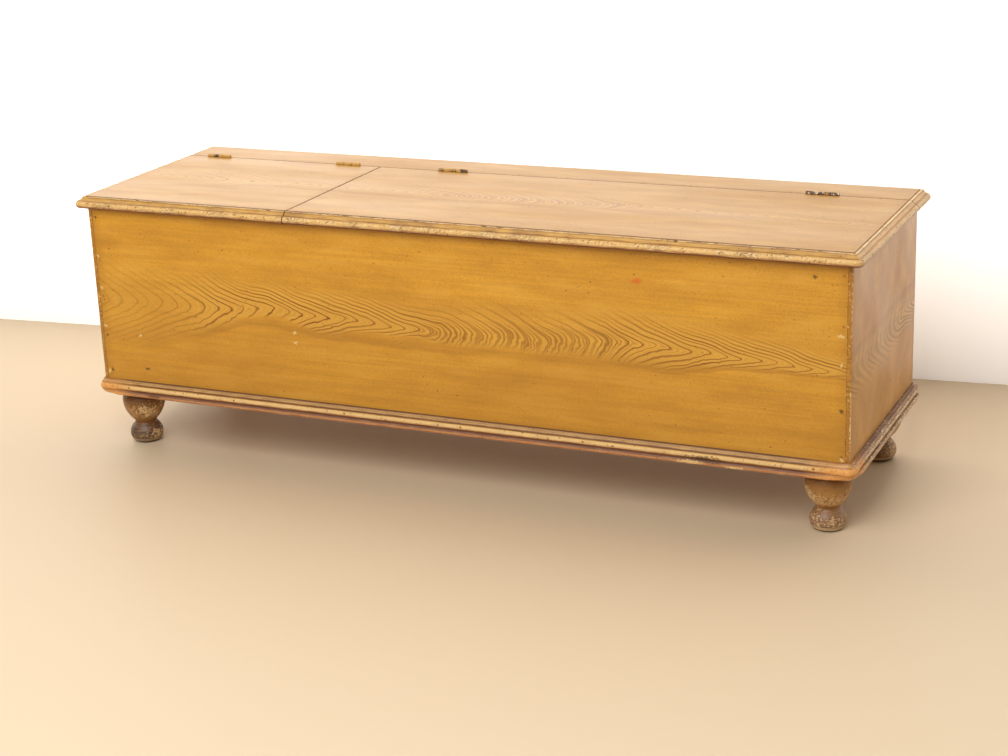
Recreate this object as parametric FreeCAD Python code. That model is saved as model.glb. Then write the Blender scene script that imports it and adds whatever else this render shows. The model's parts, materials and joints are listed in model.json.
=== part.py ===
"""Long blanket chest with two lids, built piece by piece as a joiner makes it.

Lengths are in millimetres. +X runs along the chest to the right, +Y to the back and +Z up.
The origin lies on the floor, under the middle of the chest's outer box.
"""

import FreeCAD, Part
import math
import os
from FreeCAD import Placement, Rotation, Vector

# Carcass: four walls that stand on the bottom boards
carcass_length = 1524.0
carcass_depth = 456.0
wall_height = 364.0
wall_thickness = 22.0
end_thickness = 22.0
end_lip = 8.0
bottom_thickness = 18.0
bottom_board_gap = 0.6
bottom_board_count = 3

# Partition under the seam between the lids, housed in grooves in the front and the back
partition_thickness = 19.0
partition_drop = 2.0
groove_depth = 6.0
groove_clearance = 0.15

# Lids, and the fixed rail behind them
lid_thickness = 20.0
lid_reveal = 1.5
rail_width = 91.4
rail_gap = 1.2
rail_overhang = 16.0
seam_offset = 314.0
seam_gap = 2.0

# Moulding planted on the edges of the lids and on the ends of the rail: a flat rim, a cove and a bead
moulding_projection = 19.0
moulding_lip = 2.0
moulding_corner_radius = 9.0
rim_out_share = 0.24
rim_drop_share = 0.06
cove_out_share = 0.70
cove_down_share = 0.40
cove_hollow_shares = (0.44, 0.60)
bead_top_share = 0.575
bead_crown_share = 0.31
bead_foot_share = 0.03

# Plinth moulding round the front and the ends: a cove, a torus and a rounded fascia
plinth_height = 30.0
plinth_projection = 14.0
plinth_corner_radius = 20.0
plinth_arris_share = 0.10
plinth_cove_shares = (0.36, 0.765)
plinth_cove_hollow_shares = (0.30, 0.62)
torus_top_shares = (0.30, 0.74)
torus_crown_shares = (0.82, 0.53)
torus_foot_shares = (0.64, 0.33)
fascia_quirk_share = 0.295
fascia_shoulder_shares = (0.82, 0.28)
fascia_bend_shares = (0.955, 0.25)
fascia_crown_share = 0.18
fascia_foot_share = 0.95

# Turned feet: a bulb over a ball, with a neck between and a spigot into the bottom boards
foot_height = 114.0
foot_inset = 51.0
foot_back_inset = 43.0
foot_base_radius = 23.0
foot_ball_radius = 33.0
foot_neck_radius = 21.5
foot_bulb_radius = 42.5
foot_collar_radius = 34.5
foot_ball_share = 0.15
foot_neck_low_share = 0.33
foot_neck_share = 0.37
foot_neck_high_share = 0.41
foot_bulb_share = 0.79
foot_collar_share = 0.945
foot_neck_flare_share = 0.10
spigot_radius = 12.5
spigot_clearance = 0.1

# Butt hinges, with their leaves let into the edges and their knuckles proud of the top
left_hinge_length = 54.0
right_hinge_length = 64.0
left_knuckle_count = 3
right_knuckle_count = 5
left_screw_count = 2
right_screw_count = 3
left_outer_hinge_inset = 68.0
left_inner_hinge_inset = 74.0
right_inner_hinge_inset = 163.0
right_outer_hinge_inset = 159.0
leaf_width = 17.0
leaf_thickness = 2.2
leaf_gap = 0.5
leaf_clearance = 0.2
knuckle_radius = 4.0
knuckle_rise = 1.5
knuckle_gap = 0.6
knuckle_relief = 0.4
pin_radius = 1.7
pin_clearance = 0.05

# Battens under the lids
batten_width = 46.0
batten_thickness = 20.0
batten_chamfer = 6.0
batten_end_room = 14.0
left_batten_shares = (0.22, 0.78)
right_batten_shares = (0.12, 0.50, 0.88)
batten_screw_shares = (0.08, 0.50, 0.92)

# Screws
screw_head_radius = 3.2
screw_head_depth = 1.8
screw_shank_radius = 1.7
screw_sink = 0.1
screw_clearance = 0.05
hinge_screw_length = 20.0
hinge_screw_drop = 11.0
batten_screw_length = 32.0

# Cut nails, square and tapered
nail_head = 5.0
nail_head_thickness = 1.6
nail_width = 3.2
nail_tip_share = 0.4
nail_sink = 1.0
nail_clearance = 0.05
wall_nail_length = 50.0
moulding_nail_length = 36.0
plinth_nail_length = 34.0
wall_nail_shares = (0.06, 0.28, 0.50, 0.70, 0.94)
bottom_nail_end_shares = (0.30, 0.74)
bottom_nail_wall_shares = (-0.75, -0.25, 0.25, 0.75)
rail_nail_shares = (-0.85, -0.30, 0.30, 0.85)
plinth_front_nail_shares = (0.04, 0.20, 0.36, 0.52, 0.68, 0.84, 0.96)
plinth_end_nail_shares = (0.14, 0.50, 0.84)
left_front_nail_shares = (0.08, 0.50, 0.92)
right_front_nail_shares = (0.05, 0.28, 0.50, 0.73, 0.95)
end_moulding_nail_shares = (0.12, 0.88)

# Every cut runs this far past the surface it leaves
overrun = 5.0

# Levels above the floor
bottom_z = foot_height
wall_z = bottom_z + bottom_thickness
lid_z = wall_z + wall_height
top_z = lid_z + lid_thickness
moulding_z = lid_z - moulding_lip
moulding_height = lid_thickness + moulding_lip
hinge_z = top_z + knuckle_rise

# Faces of the carcass, and the edges of the lids and the rail
outer_depth = moulding_projection + lid_reveal + carcass_depth + rail_overhang
right_x = carcass_length / 2
left_x = -right_x
front_y = moulding_projection + lid_reveal - outer_depth / 2
back_y = front_y + carcass_depth
seam_x = -seam_offset
lid_right_x = right_x + lid_reveal
lid_left_x = -lid_right_x
lid_front_y = front_y - lid_reveal
rail_back_y = back_y + rail_overhang
rail_front_y = rail_back_y - rail_width
hinge_y = rail_front_y - rail_gap / 2
lid_back_y = hinge_y - rail_gap / 2
seam_left_x = seam_x - seam_gap / 2
seam_right_x = seam_x + seam_gap / 2

ORIGIN = Vector(0, 0, 0)
UP = Vector(0, 0, 1)
DOWN = Vector(0, 0, -1)
RIGHT = Vector(1, 0, 0)
LEFT = Vector(-1, 0, 0)
FRONT = Vector(0, -1, 0)
BACK = Vector(0, 1, 0)


# Helpers

def board(low, high):
    """Return a squared board between two opposite corners."""
    size = high - low
    return Part.makeBox(size.x, size.y, size.z, low)


def rod(radius, start_x, end_x, y, z):
    """Return a round rod that runs along X."""
    return Part.makeCylinder(radius, end_x - start_x, Vector(start_x, y, z), RIGHT)


def polygon_face(points):
    """Return the flat face inside a closed run of points."""
    return Part.Face(Part.makePolygon(points + points[:1]))


def along(start, end, shares):
    """Return the places at the given shares of the way from start to end."""
    return [start + share * (end - start) for share in shares]


def placed(shape, point, direction):
    """Return a copy of an upright shape that starts at a point and points along a direction."""
    copy = shape.copy()
    copy.Placement = Placement(point, Rotation(UP, direction))
    return copy


def without(shape, tools):
    """Return a shape with a list of tools cut out of it."""
    return shape.cut(Part.makeCompound(tools)).removeSplitter()


# Fasteners

def square_wire(side, height):
    """Return a level square outline around the Z axis."""
    half = side / 2
    corners = [Vector(-half, -half, height), Vector(half, -half, height),
               Vector(half, half, height), Vector(-half, half, height)]
    return Part.makePolygon(corners + corners[:1])


def cut_nail(length, grow, reach):
    """Return one cut nail that points up, its head's face at the origin.

    For a hole, grow widens the nail all round and reach carries its head out past the surface.
    """
    shank_side = nail_width + 2 * grow
    tip_side = nail_width * nail_tip_share + 2 * grow
    shank = Part.makeLoft([square_wire(shank_side, 0), square_wire(tip_side, length + grow)], True, True)
    half = nail_head / 2 + grow
    head = board(Vector(-half, -half, -reach), Vector(half, half, nail_head_thickness + grow))
    return head.fuse(shank).removeSplitter()


def countersunk_screw(length, grow, reach):
    """Return one countersunk screw that points up, its head's face at the origin.

    For a hole, grow widens the screw all round and reach carries its head out past the surface.
    """
    head = screw_head_radius + grow
    shank = screw_shank_radius + grow
    tip = length + grow
    outline = [Vector(0, 0, -reach), Vector(head, 0, -reach)]
    if reach:
        outline.append(Vector(head, 0, 0))
    outline += [Vector(shank, 0, screw_head_depth), Vector(shank, 0, tip - shank), Vector(0, 0, tip)]
    return polygon_face(outline).revolve(ORIGIN, UP, 360)


def driven(make, points, direction, length, sink, clearance):
    """Return the fasteners driven in from surface points, and the holes that they fill."""
    solid = make(length, 0, 0)
    hole = make(length, clearance, sink + overrun)
    heads = [point + direction * sink for point in points]
    return ([placed(solid, head, direction) for head in heads],
            [placed(hole, head, direction) for head in heads])


def nails(points, direction, length):
    """Return cut nails sunk below the surface, and their holes."""
    return driven(cut_nail, points, direction, length, nail_sink, nail_clearance)


def screws(points, direction, length):
    """Return screws with their heads flush, and their holes."""
    return driven(countersunk_screw, points, direction, length, screw_sink, screw_clearance)


def joined(groups):
    """Return one list of fasteners and one list of holes from several groups."""
    return [solid for group in groups for solid in group[0]], [hole for group in groups for hole in group[1]]


# Mouldings

def edges_face(edges):
    """Return the flat face inside a closed run of edges."""
    return Part.Face(Part.Wire([edge.toShape() for edge in edges]))


def lid_moulding_outline():
    """Return the lid moulding's section: X points out from the lid and Y up from its underside."""
    def at(out_share, up_share):
        return Vector(out_share * moulding_projection, up_share * moulding_height, 0)

    rim = at(rim_out_share, 1)
    cove_top = at(rim_out_share, 1 - rim_drop_share)
    cove_foot = at(cove_out_share, 1 - cove_down_share)
    hollow_out, hollow_down = cove_hollow_shares
    hollow = Vector(cove_top.x + hollow_out * (cove_foot.x - cove_top.x),
                    cove_top.y + hollow_down * (cove_foot.y - cove_top.y), 0)
    bead_top = at(cove_out_share, bead_top_share)
    bead_foot = at(cove_out_share, bead_foot_share)
    return edges_face([
        Part.LineSegment(at(0, 0), at(0, 1)),
        Part.LineSegment(at(0, 1), rim),
        Part.LineSegment(rim, cove_top),
        Part.Arc(cove_top, hollow, cove_foot),
        Part.LineSegment(cove_foot, bead_top),
        Part.Arc(bead_top, at(1, bead_crown_share), bead_foot),
        Part.LineSegment(bead_foot, at(cove_out_share, 0)),
        Part.LineSegment(at(cove_out_share, 0), at(0, 0)),
    ])


def plinth_outline():
    """Return the plinth's section: X points out from the wall and Y up from its underside."""
    def at(out_share, up_share):
        return Vector(out_share * plinth_projection, up_share * plinth_height, 0)

    cove_top = at(plinth_arris_share, 1)
    cove_foot = at(*plinth_cove_shares)
    hollow_out, hollow_down = plinth_cove_hollow_shares
    hollow = Vector(cove_top.x + hollow_out * (cove_foot.x - cove_top.x),
                    cove_top.y + hollow_down * (cove_foot.y - cove_top.y), 0)
    torus_top = at(*torus_top_shares)
    torus_foot = at(*torus_foot_shares)
    quirk = at(torus_foot_shares[0], fascia_quirk_share)
    shoulder = at(*fascia_shoulder_shares)
    fascia_crown = at(1, fascia_crown_share)
    return edges_face([
        Part.LineSegment(at(0, 0), at(0, 1)),
        Part.LineSegment(at(0, 1), cove_top),
        Part.Arc(cove_top, hollow, cove_foot),
        Part.LineSegment(cove_foot, torus_top),
        Part.Arc(torus_top, at(*torus_crown_shares), torus_foot),
        Part.LineSegment(torus_foot, quirk),
        Part.LineSegment(quirk, shoulder),
        Part.Arc(shoulder, at(*fascia_bend_shares), fascia_crown),
        Part.LineSegment(fascia_crown, at(fascia_foot_share, 0)),
        Part.LineSegment(at(fascia_foot_share, 0), at(0, 0)),
    ])


def moulding_run(outline, out, start, length):
    """Return a straight moulding that faces out and runs from start along out x up."""
    bar = outline.extrude(UP * length)
    bar.Placement = Placement(start, Rotation(out, UP, out.cross(UP), "XYZ"))
    return bar


def mitre_wedge(corner, out, end_out, projection, height):
    """Return the wedge past the mitre at a corner, on the side of end_out, of a piece facing out."""
    reach = projection + overrun
    plan = [corner - (out + end_out) * overrun, corner + (out + end_out) * reach,
            corner + (end_out - out) * reach]
    low = [point - UP * overrun for point in plan]
    return polygon_face(low).extrude(UP * (height + 2 * overrun))


def corner_waste(corner, out, end_out, projection, radius, height):
    """Return what rounding takes off the outer corner of two mouldings that meet at a mitre."""
    tip = corner + (out + end_out) * projection - UP * overrun
    centre = tip - (out + end_out) * radius
    reach = radius + overrun
    plan = [centre, centre + out * reach, centre + (out + end_out) * reach, centre + end_out * reach]
    tall = height + 2 * overrun
    return polygon_face(plan).extrude(UP * tall).cut(Part.makeCylinder(radius, tall, centre))


# Feet

def crown_arc(crown, end):
    """Return the arc from a crown to an end point, upright where it leaves the crown."""
    inward = crown.x - end.x
    rise = end.z - crown.z
    radius = (inward ** 2 + rise ** 2) / (2 * inward)
    half_angle = math.atan2(rise, radius - inward) / 2
    middle = Vector(crown.x - radius + radius * math.cos(half_angle), 0,
                    crown.z + radius * math.sin(half_angle))
    return Part.Arc(crown, middle, end)


def turned_foot():
    """Return one foot turned about the Z axis, standing on the origin."""
    def at(radius, height_share):
        return Vector(radius, 0, height_share * foot_height)

    flare = foot_neck_radius * (1 + foot_neck_flare_share)
    base = at(foot_base_radius, 0)
    ball = at(foot_ball_radius, foot_ball_share)
    neck_low = at(flare, foot_neck_low_share)
    neck_high = at(flare, foot_neck_high_share)
    bulb = at(foot_bulb_radius, foot_bulb_share)
    collar = at(foot_collar_radius, foot_collar_share)
    shoulder = at(foot_collar_radius, 1)
    spigot_foot = at(spigot_radius, 1)
    spigot_top = spigot_foot + UP * bottom_thickness
    axis_top = Vector(0, 0, spigot_top.z)
    outline = edges_face([
        Part.LineSegment(ORIGIN, base),
        crown_arc(ball, base),
        crown_arc(ball, neck_low),
        Part.Arc(neck_low, at(foot_neck_radius, foot_neck_share), neck_high),
        crown_arc(bulb, neck_high),
        crown_arc(bulb, collar),
        Part.LineSegment(collar, shoulder),
        Part.LineSegment(shoulder, spigot_foot),
        Part.LineSegment(spigot_foot, spigot_top),
        Part.LineSegment(spigot_top, axis_top),
        Part.LineSegment(axis_top, ORIGIN),
    ])
    return outline.revolve(ORIGIN, UP, 360)


foot_places = {
    "foot_front_left": Vector(left_x + foot_inset, front_y + foot_inset, 0),
    "foot_front_right": Vector(right_x - foot_inset, front_y + foot_inset, 0),
    "foot_back_left": Vector(left_x + foot_inset, back_y - foot_back_inset, 0),
    "foot_back_right": Vector(right_x - foot_inset, back_y - foot_back_inset, 0),
}


# Hinges

class ButtHinge:
    """One butt hinge: a leaf on the rail, a leaf on the lid, a pin and screws."""

    def __init__(self, middle_x, length, knuckle_count, screw_count):
        self.start_x = middle_x - length / 2
        self.end_x = middle_x + length / 2
        self.pitch = length / knuckle_count
        self.knuckle_count = knuckle_count
        self.rail_screws, self.rail_holes = self.leaf_screws(BACK, screw_count)
        self.lid_screws, self.lid_holes = self.leaf_screws(FRONT, screw_count)

    def leaf_screws(self, direction, count):
        """Return one leaf's screws and their holes, driven away from the other leaf."""
        shares = [(index + 0.5) / count for index in range(count)]
        face_y = hinge_y + direction.y * leaf_gap / 2
        points = [Vector(x, face_y, hinge_z - hinge_screw_drop)
                  for x in along(self.start_x, self.end_x, shares)]
        return screws(points, direction, hinge_screw_length)

    def knuckle_span(self, index):
        """Return where one knuckle's share of the barrel starts and ends."""
        start = self.start_x + index * self.pitch
        return start, start + self.pitch

    def leaf(self, direction, first_knuckle, holes):
        """Return one leaf, with every second knuckle from the first one."""
        near = hinge_y + direction.y * leaf_gap / 2
        far = near + direction.y * leaf_thickness
        plate = board(Vector(self.start_x, min(near, far), hinge_z - leaf_width),
                      Vector(self.end_x, max(near, far), hinge_z))
        knuckles = []
        cuts = [rod(pin_radius + pin_clearance, self.start_x - overrun, self.end_x + overrun,
                    hinge_y, hinge_z)]
        for index in range(self.knuckle_count):
            start, end = self.knuckle_span(index)
            if index % 2 == first_knuckle:
                knuckles.append(rod(knuckle_radius, start + knuckle_gap / 2, end - knuckle_gap / 2,
                                    hinge_y, hinge_z))
            else:
                cuts.append(rod(knuckle_radius + knuckle_relief, start, end, hinge_y, hinge_z))
        barrel = plate.fuse(knuckles)
        return without(barrel, cuts + holes)

    def rail_leaf(self):
        """Return the leaf that is let into the rail."""
        return self.leaf(BACK, 0, self.rail_holes)

    def lid_leaf(self):
        """Return the leaf that is let into the lid."""
        return self.leaf(FRONT, 1, self.lid_holes)

    def pin(self):
        """Return the pin through all the knuckles."""
        return rod(pin_radius, self.start_x, self.end_x, hinge_y, hinge_z)

    def recess(self, direction):
        """Return what is cut from an edge for one leaf and for the barrel."""
        far = hinge_y + direction.y * (leaf_gap / 2 + leaf_thickness)
        near = hinge_y - direction.y * overrun
        start = self.start_x - leaf_clearance
        end = self.end_x + leaf_clearance
        housing = board(Vector(start, min(near, far), hinge_z - leaf_width - leaf_clearance),
                        Vector(end, max(near, far), hinge_z + overrun))
        return [housing, rod(knuckle_radius + knuckle_relief, start, end, hinge_y, hinge_z)]


left_hinges = {
    "left_outer_hinge": ButtHinge(left_x + left_outer_hinge_inset, left_hinge_length,
                                  left_knuckle_count, left_screw_count),
    "left_inner_hinge": ButtHinge(seam_x - left_inner_hinge_inset, left_hinge_length,
                                  left_knuckle_count, left_screw_count),
}
right_hinges = {
    "right_inner_hinge": ButtHinge(seam_x + right_inner_hinge_inset, right_hinge_length,
                                   right_knuckle_count, right_screw_count),
    "right_outer_hinge": ButtHinge(right_x - right_outer_hinge_inset, right_hinge_length,
                                   right_knuckle_count, right_screw_count),
}

pieces = {}


def build_hinges():
    """Add the hinge leaves, the pins and the rail's hinge screws."""
    rail_screws = []
    for name, hinge in {**left_hinges, **right_hinges}.items():
        pieces[name + "_rail_leaf"] = hinge.rail_leaf()
        pieces[name + "_lid_leaf"] = hinge.lid_leaf()
        pieces[name + "_pin"] = hinge.pin()
        rail_screws += hinge.rail_screws
    pieces["rail_hinge_screws"] = Part.makeCompound(rail_screws)


def build_carcass():
    """Add the walls, the bottom boards, the partition, the plinth, the feet and their nails."""
    nail_x = right_x - (end_thickness + end_lip) / 2
    heights = along(wall_z, lid_z, wall_nail_shares)
    end_xs = (-nail_x, nail_x)
    front_nails = nails([Vector(x, front_y, z) for x in end_xs for z in heights], BACK, wall_nail_length)
    back_nails = nails([Vector(x, back_y, z) for x in end_xs for z in heights], FRONT, wall_nail_length)

    board_width = (carcass_depth - (bottom_board_count - 1) * bottom_board_gap) / bottom_board_count
    board_starts = [front_y + index * (board_width + bottom_board_gap) for index in range(bottom_board_count)]
    end_nail_ys = [y for start in board_starts
                   for y in along(start, start + board_width, bottom_nail_end_shares)]
    end_middle_xs = (left_x + end_thickness / 2, right_x - end_thickness / 2)
    wall_middle_ys = (front_y + wall_thickness / 2, back_y - wall_thickness / 2)
    under_points = [Vector(x, y, bottom_z) for x in end_middle_xs for y in end_nail_ys]
    under_points += [Vector(share * right_x, y, bottom_z) for share in bottom_nail_wall_shares
                     for y in wall_middle_ys]
    bottom_nails = nails(under_points, UP, wall_nail_length)

    torus_out_share, torus_up_share = torus_crown_shares
    nail_z = bottom_z + torus_up_share * plinth_height
    torus_reach = torus_out_share * plinth_projection
    plinth_front_nails = nails([Vector(x, front_y - torus_reach, nail_z)
                                for x in along(left_x, right_x, plinth_front_nail_shares)],
                               BACK, plinth_nail_length)
    plinth_end_ys = along(front_y, back_y, plinth_end_nail_shares)
    plinth_left_nails = nails([Vector(left_x - torus_reach, y, nail_z) for y in plinth_end_ys],
                              RIGHT, plinth_nail_length)
    plinth_right_nails = nails([Vector(right_x + torus_reach, y, nail_z) for y in plinth_end_ys],
                               LEFT, plinth_nail_length)
    plinth_nails = joined([plinth_front_nails, plinth_left_nails, plinth_right_nails])

    rail_nails = nails([Vector(share * right_x, wall_middle_ys[1], top_z) for share in rail_nail_shares],
                       DOWN, wall_nail_length)

    groove = board(Vector(seam_x - partition_thickness / 2 - groove_clearance,
                          front_y + wall_thickness - groove_depth, wall_z - overrun),
                   Vector(seam_x + partition_thickness / 2 + groove_clearance,
                          back_y - wall_thickness + groove_depth, lid_z + overrun))
    all_nail_holes = front_nails[1] + back_nails[1] + bottom_nails[1] + plinth_nails[1] + rail_nails[1]

    front = board(Vector(left_x + end_lip, front_y, wall_z),
                  Vector(right_x - end_lip, front_y + wall_thickness, lid_z))
    back = board(Vector(left_x + end_lip, back_y - wall_thickness, wall_z),
                 Vector(right_x - end_lip, back_y, lid_z))
    pieces["front_board"] = without(front, all_nail_holes + [groove])
    pieces["back_board"] = without(back, all_nail_holes + [groove])

    for name, outer_x, inward in (("left_end_board", left_x, RIGHT), ("right_end_board", right_x, LEFT)):
        inner_x = outer_x + inward.x * end_thickness
        ledge_x = outer_x + inward.x * end_lip
        past_x = inner_x + inward.x * overrun
        end = board(Vector(min(outer_x, inner_x), front_y, wall_z),
                    Vector(max(outer_x, inner_x), back_y, lid_z))
        rabbets = [board(Vector(min(ledge_x, past_x), low_y, wall_z - overrun),
                         Vector(max(ledge_x, past_x), high_y, lid_z + overrun))
                   for low_y, high_y in ((front_y - overrun, front_y + wall_thickness),
                                         (back_y - wall_thickness, back_y + overrun))]
        pieces[name] = without(end, rabbets + all_nail_holes)

    spigot_holes = [Part.makeCylinder(spigot_radius + spigot_clearance, bottom_thickness + 2 * overrun,
                                      place + UP * (bottom_z - overrun)) for place in foot_places.values()]
    for index, start in enumerate(board_starts):
        plank = board(Vector(left_x, start, bottom_z), Vector(right_x, start + board_width, wall_z))
        pieces["bottom_board_%d" % (index + 1)] = without(plank, spigot_holes + all_nail_holes)

    pieces["partition"] = board(
        Vector(seam_x - partition_thickness / 2,
               front_y + wall_thickness - groove_depth + groove_clearance, wall_z),
        Vector(seam_x + partition_thickness / 2,
               back_y - wall_thickness + groove_depth - groove_clearance, lid_z - partition_drop))

    section = plinth_outline()
    left_corner = Vector(left_x, front_y, bottom_z)
    right_corner = Vector(right_x, front_y, bottom_z)
    front_run = moulding_run(section, FRONT, right_corner + RIGHT * plinth_projection,
                             carcass_length + 2 * plinth_projection)
    left_run = moulding_run(section, LEFT, left_corner + FRONT * plinth_projection,
                            carcass_depth + plinth_projection)
    right_run = moulding_run(section, RIGHT, right_corner + BACK * carcass_depth,
                             carcass_depth + plinth_projection)
    mitre = (plinth_projection, plinth_height)
    rounding = (plinth_projection, plinth_corner_radius, plinth_height)
    left_waste = corner_waste(left_corner, FRONT, LEFT, *rounding)
    right_waste = corner_waste(right_corner, FRONT, RIGHT, *rounding)
    front_cuts = [mitre_wedge(left_corner, FRONT, LEFT, *mitre), left_waste,
                  mitre_wedge(right_corner, FRONT, RIGHT, *mitre), right_waste]
    left_mitre = mitre_wedge(left_corner, LEFT, FRONT, *mitre)
    right_mitre = mitre_wedge(right_corner, RIGHT, FRONT, *mitre)
    pieces["plinth_front"] = without(front_run, front_cuts + plinth_front_nails[1])
    pieces["plinth_left"] = without(left_run, [left_mitre, left_waste] + plinth_left_nails[1])
    pieces["plinth_right"] = without(right_run, [right_mitre, right_waste] + plinth_right_nails[1])

    foot = turned_foot()
    for name, place in foot_places.items():
        pieces[name] = placed(foot, place, UP)

    pieces["front_nails"] = Part.makeCompound(front_nails[0])
    pieces["back_nails"] = Part.makeCompound(back_nails[0])
    pieces["bottom_nails"] = Part.makeCompound(bottom_nails[0])
    pieces["plinth_nails"] = Part.makeCompound(plinth_nails[0])
    pieces["rail_nails"] = Part.makeCompound(rail_nails[0])
    return rail_nails[1]


def build_rail(nail_holes):
    """Add the fixed back rail and the moulding on its two ends."""
    rail = board(Vector(lid_left_x, rail_front_y, lid_z), Vector(lid_right_x, rail_back_y, top_z))
    hinge_cuts = []
    for hinge in list(left_hinges.values()) + list(right_hinges.values()):
        hinge_cuts += hinge.recess(BACK) + hinge.rail_holes

    section = lid_moulding_outline()
    nail_z = moulding_z + bead_crown_share * moulding_height
    nail_y = (rail_front_y + rail_back_y) / 2
    length = rail_back_y - rail_front_y
    left_point = Vector(lid_left_x - moulding_projection, nail_y, nail_z)
    right_point = Vector(lid_right_x + moulding_projection, nail_y, nail_z)
    left_nails = nails([left_point], RIGHT, moulding_nail_length)
    right_nails = nails([right_point], LEFT, moulding_nail_length)
    left_run = moulding_run(section, LEFT, Vector(lid_left_x, rail_front_y, moulding_z), length)
    right_run = moulding_run(section, RIGHT, Vector(lid_right_x, rail_back_y, moulding_z), length)
    pieces["back_rail"] = without(rail, hinge_cuts + nail_holes + left_nails[1] + right_nails[1])
    pieces["rail_moulding_left"] = without(left_run, left_nails[1])
    pieces["rail_moulding_right"] = without(right_run, right_nails[1])
    pieces["rail_moulding_nails"] = Part.makeCompound(left_nails[0] + right_nails[0])


def lid_battens(lid, low_x, high_x, shares):
    """Add one lid's battens, spread over the clear width, and return the holes of their screws."""
    start_y = front_y + wall_thickness + batten_end_room
    end_y = lid_back_y - batten_end_room
    half = batten_width / 2
    section = polygon_face([
        Vector(-half, start_y, lid_z),
        Vector(half, start_y, lid_z),
        Vector(half, start_y, lid_z - batten_thickness + batten_chamfer),
        Vector(half - batten_chamfer, start_y, lid_z - batten_thickness),
        Vector(-half + batten_chamfer, start_y, lid_z - batten_thickness),
        Vector(-half, start_y, lid_z - batten_thickness + batten_chamfer),
    ])
    batten = section.extrude(BACK * (end_y - start_y))
    groups = []
    for index, x in enumerate(along(low_x, high_x, shares)):
        points = [Vector(x, y, lid_z - batten_thickness) for y in along(start_y, end_y, batten_screw_shares)]
        group = screws(points, UP, batten_screw_length)
        groups.append(group)
        pieces["%s_batten_%d" % (lid, index + 1)] = without(batten.translated(RIGHT * x), group[1])
    solids, holes = joined(groups)
    pieces[lid + "_batten_screws"] = Part.makeCompound(solids)
    return holes


def build_lid(lid, outward, hinges, front_nail_shares, batten_shares):
    """Add one lid: its board, mouldings, battens, nails and screws.

    outward points from the seam to the lid's free end.
    """
    end_x = lid_right_x if outward is RIGHT else lid_left_x
    inner_x = seam_right_x if outward is RIGHT else seam_left_x
    low_x = min(end_x, inner_x)
    high_x = max(end_x, inner_x)
    panel = board(Vector(low_x, lid_front_y, lid_z), Vector(high_x, lid_back_y, top_z))

    section = lid_moulding_outline()
    corner = Vector(end_x, lid_front_y, moulding_z)
    nail_z = moulding_z + bead_crown_share * moulding_height
    front_length = high_x - low_x + moulding_projection
    front_start = high_x + moulding_projection if outward is RIGHT else high_x
    end_length = lid_back_y - lid_front_y + moulding_projection
    end_start_y = lid_back_y if outward is RIGHT else lid_front_y - moulding_projection
    front_run = moulding_run(section, FRONT, Vector(front_start, lid_front_y, moulding_z), front_length)
    end_run = moulding_run(section, outward, Vector(end_x, end_start_y, moulding_z), end_length)
    front_nails = nails([Vector(x, lid_front_y - moulding_projection, nail_z)
                         for x in along(inner_x, end_x, front_nail_shares)], BACK, moulding_nail_length)
    end_nails = nails([Vector(end_x + outward.x * moulding_projection, y, nail_z)
                       for y in along(lid_front_y, lid_back_y, end_moulding_nail_shares)],
                      outward * -1, moulding_nail_length)
    nail_solids, nail_holes = joined([front_nails, end_nails])
    mitre = (moulding_projection, moulding_height)
    waste = corner_waste(corner, FRONT, outward, moulding_projection, moulding_corner_radius, moulding_height)
    front_mitre = mitre_wedge(corner, FRONT, outward, *mitre)
    end_mitre = mitre_wedge(corner, outward, FRONT, *mitre)
    pieces[lid + "_front_moulding"] = without(front_run, [front_mitre, waste] + front_nails[1])
    pieces[lid + "_end_moulding"] = without(end_run, [end_mitre, waste] + end_nails[1])
    pieces[lid + "_moulding_nails"] = Part.makeCompound(nail_solids)

    wall_x = outward.x * (right_x - end_thickness)
    partition_x = seam_x + outward.x * partition_thickness / 2
    batten_holes = lid_battens(lid, min(wall_x, partition_x), max(wall_x, partition_x), batten_shares)

    hinge_cuts = []
    hinge_screws = []
    for hinge in hinges.values():
        hinge_cuts += hinge.recess(FRONT) + hinge.lid_holes
        hinge_screws += hinge.lid_screws
    pieces[lid + "_hinge_screws"] = Part.makeCompound(hinge_screws)
    pieces[lid + "_board"] = without(panel, nail_holes + batten_holes + hinge_cuts)


build_hinges()
build_rail(build_carcass())
build_lid("left_lid", LEFT, left_hinges, left_front_nail_shares, left_batten_shares)
build_lid("right_lid", RIGHT, right_hinges, right_front_nail_shares, right_batten_shares)

os.makedirs("parts", exist_ok=True)
for name, shape in pieces.items():
    shape.exportStep("parts/%s.step" % name)
    print(name, len(shape.Solids), "valid" if shape.isValid() else "NOT VALID")
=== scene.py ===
"""Dresses the two-lid blanket chest: worn boards, mouldings, feet and hinges, their finishes and a studio.

Sizes in the classes are in millimetres, and MM turns them into the scene's metres. +X runs along the chest
to the right, +Y to the back and +Z up, and the chest stands on the floor at z = 0.
"""

import json
import logging
import math
from dataclasses import dataclass, field
from enum import Enum

import bpy
import numpy as np
from mathutils import Matrix, Vector, noise


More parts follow.
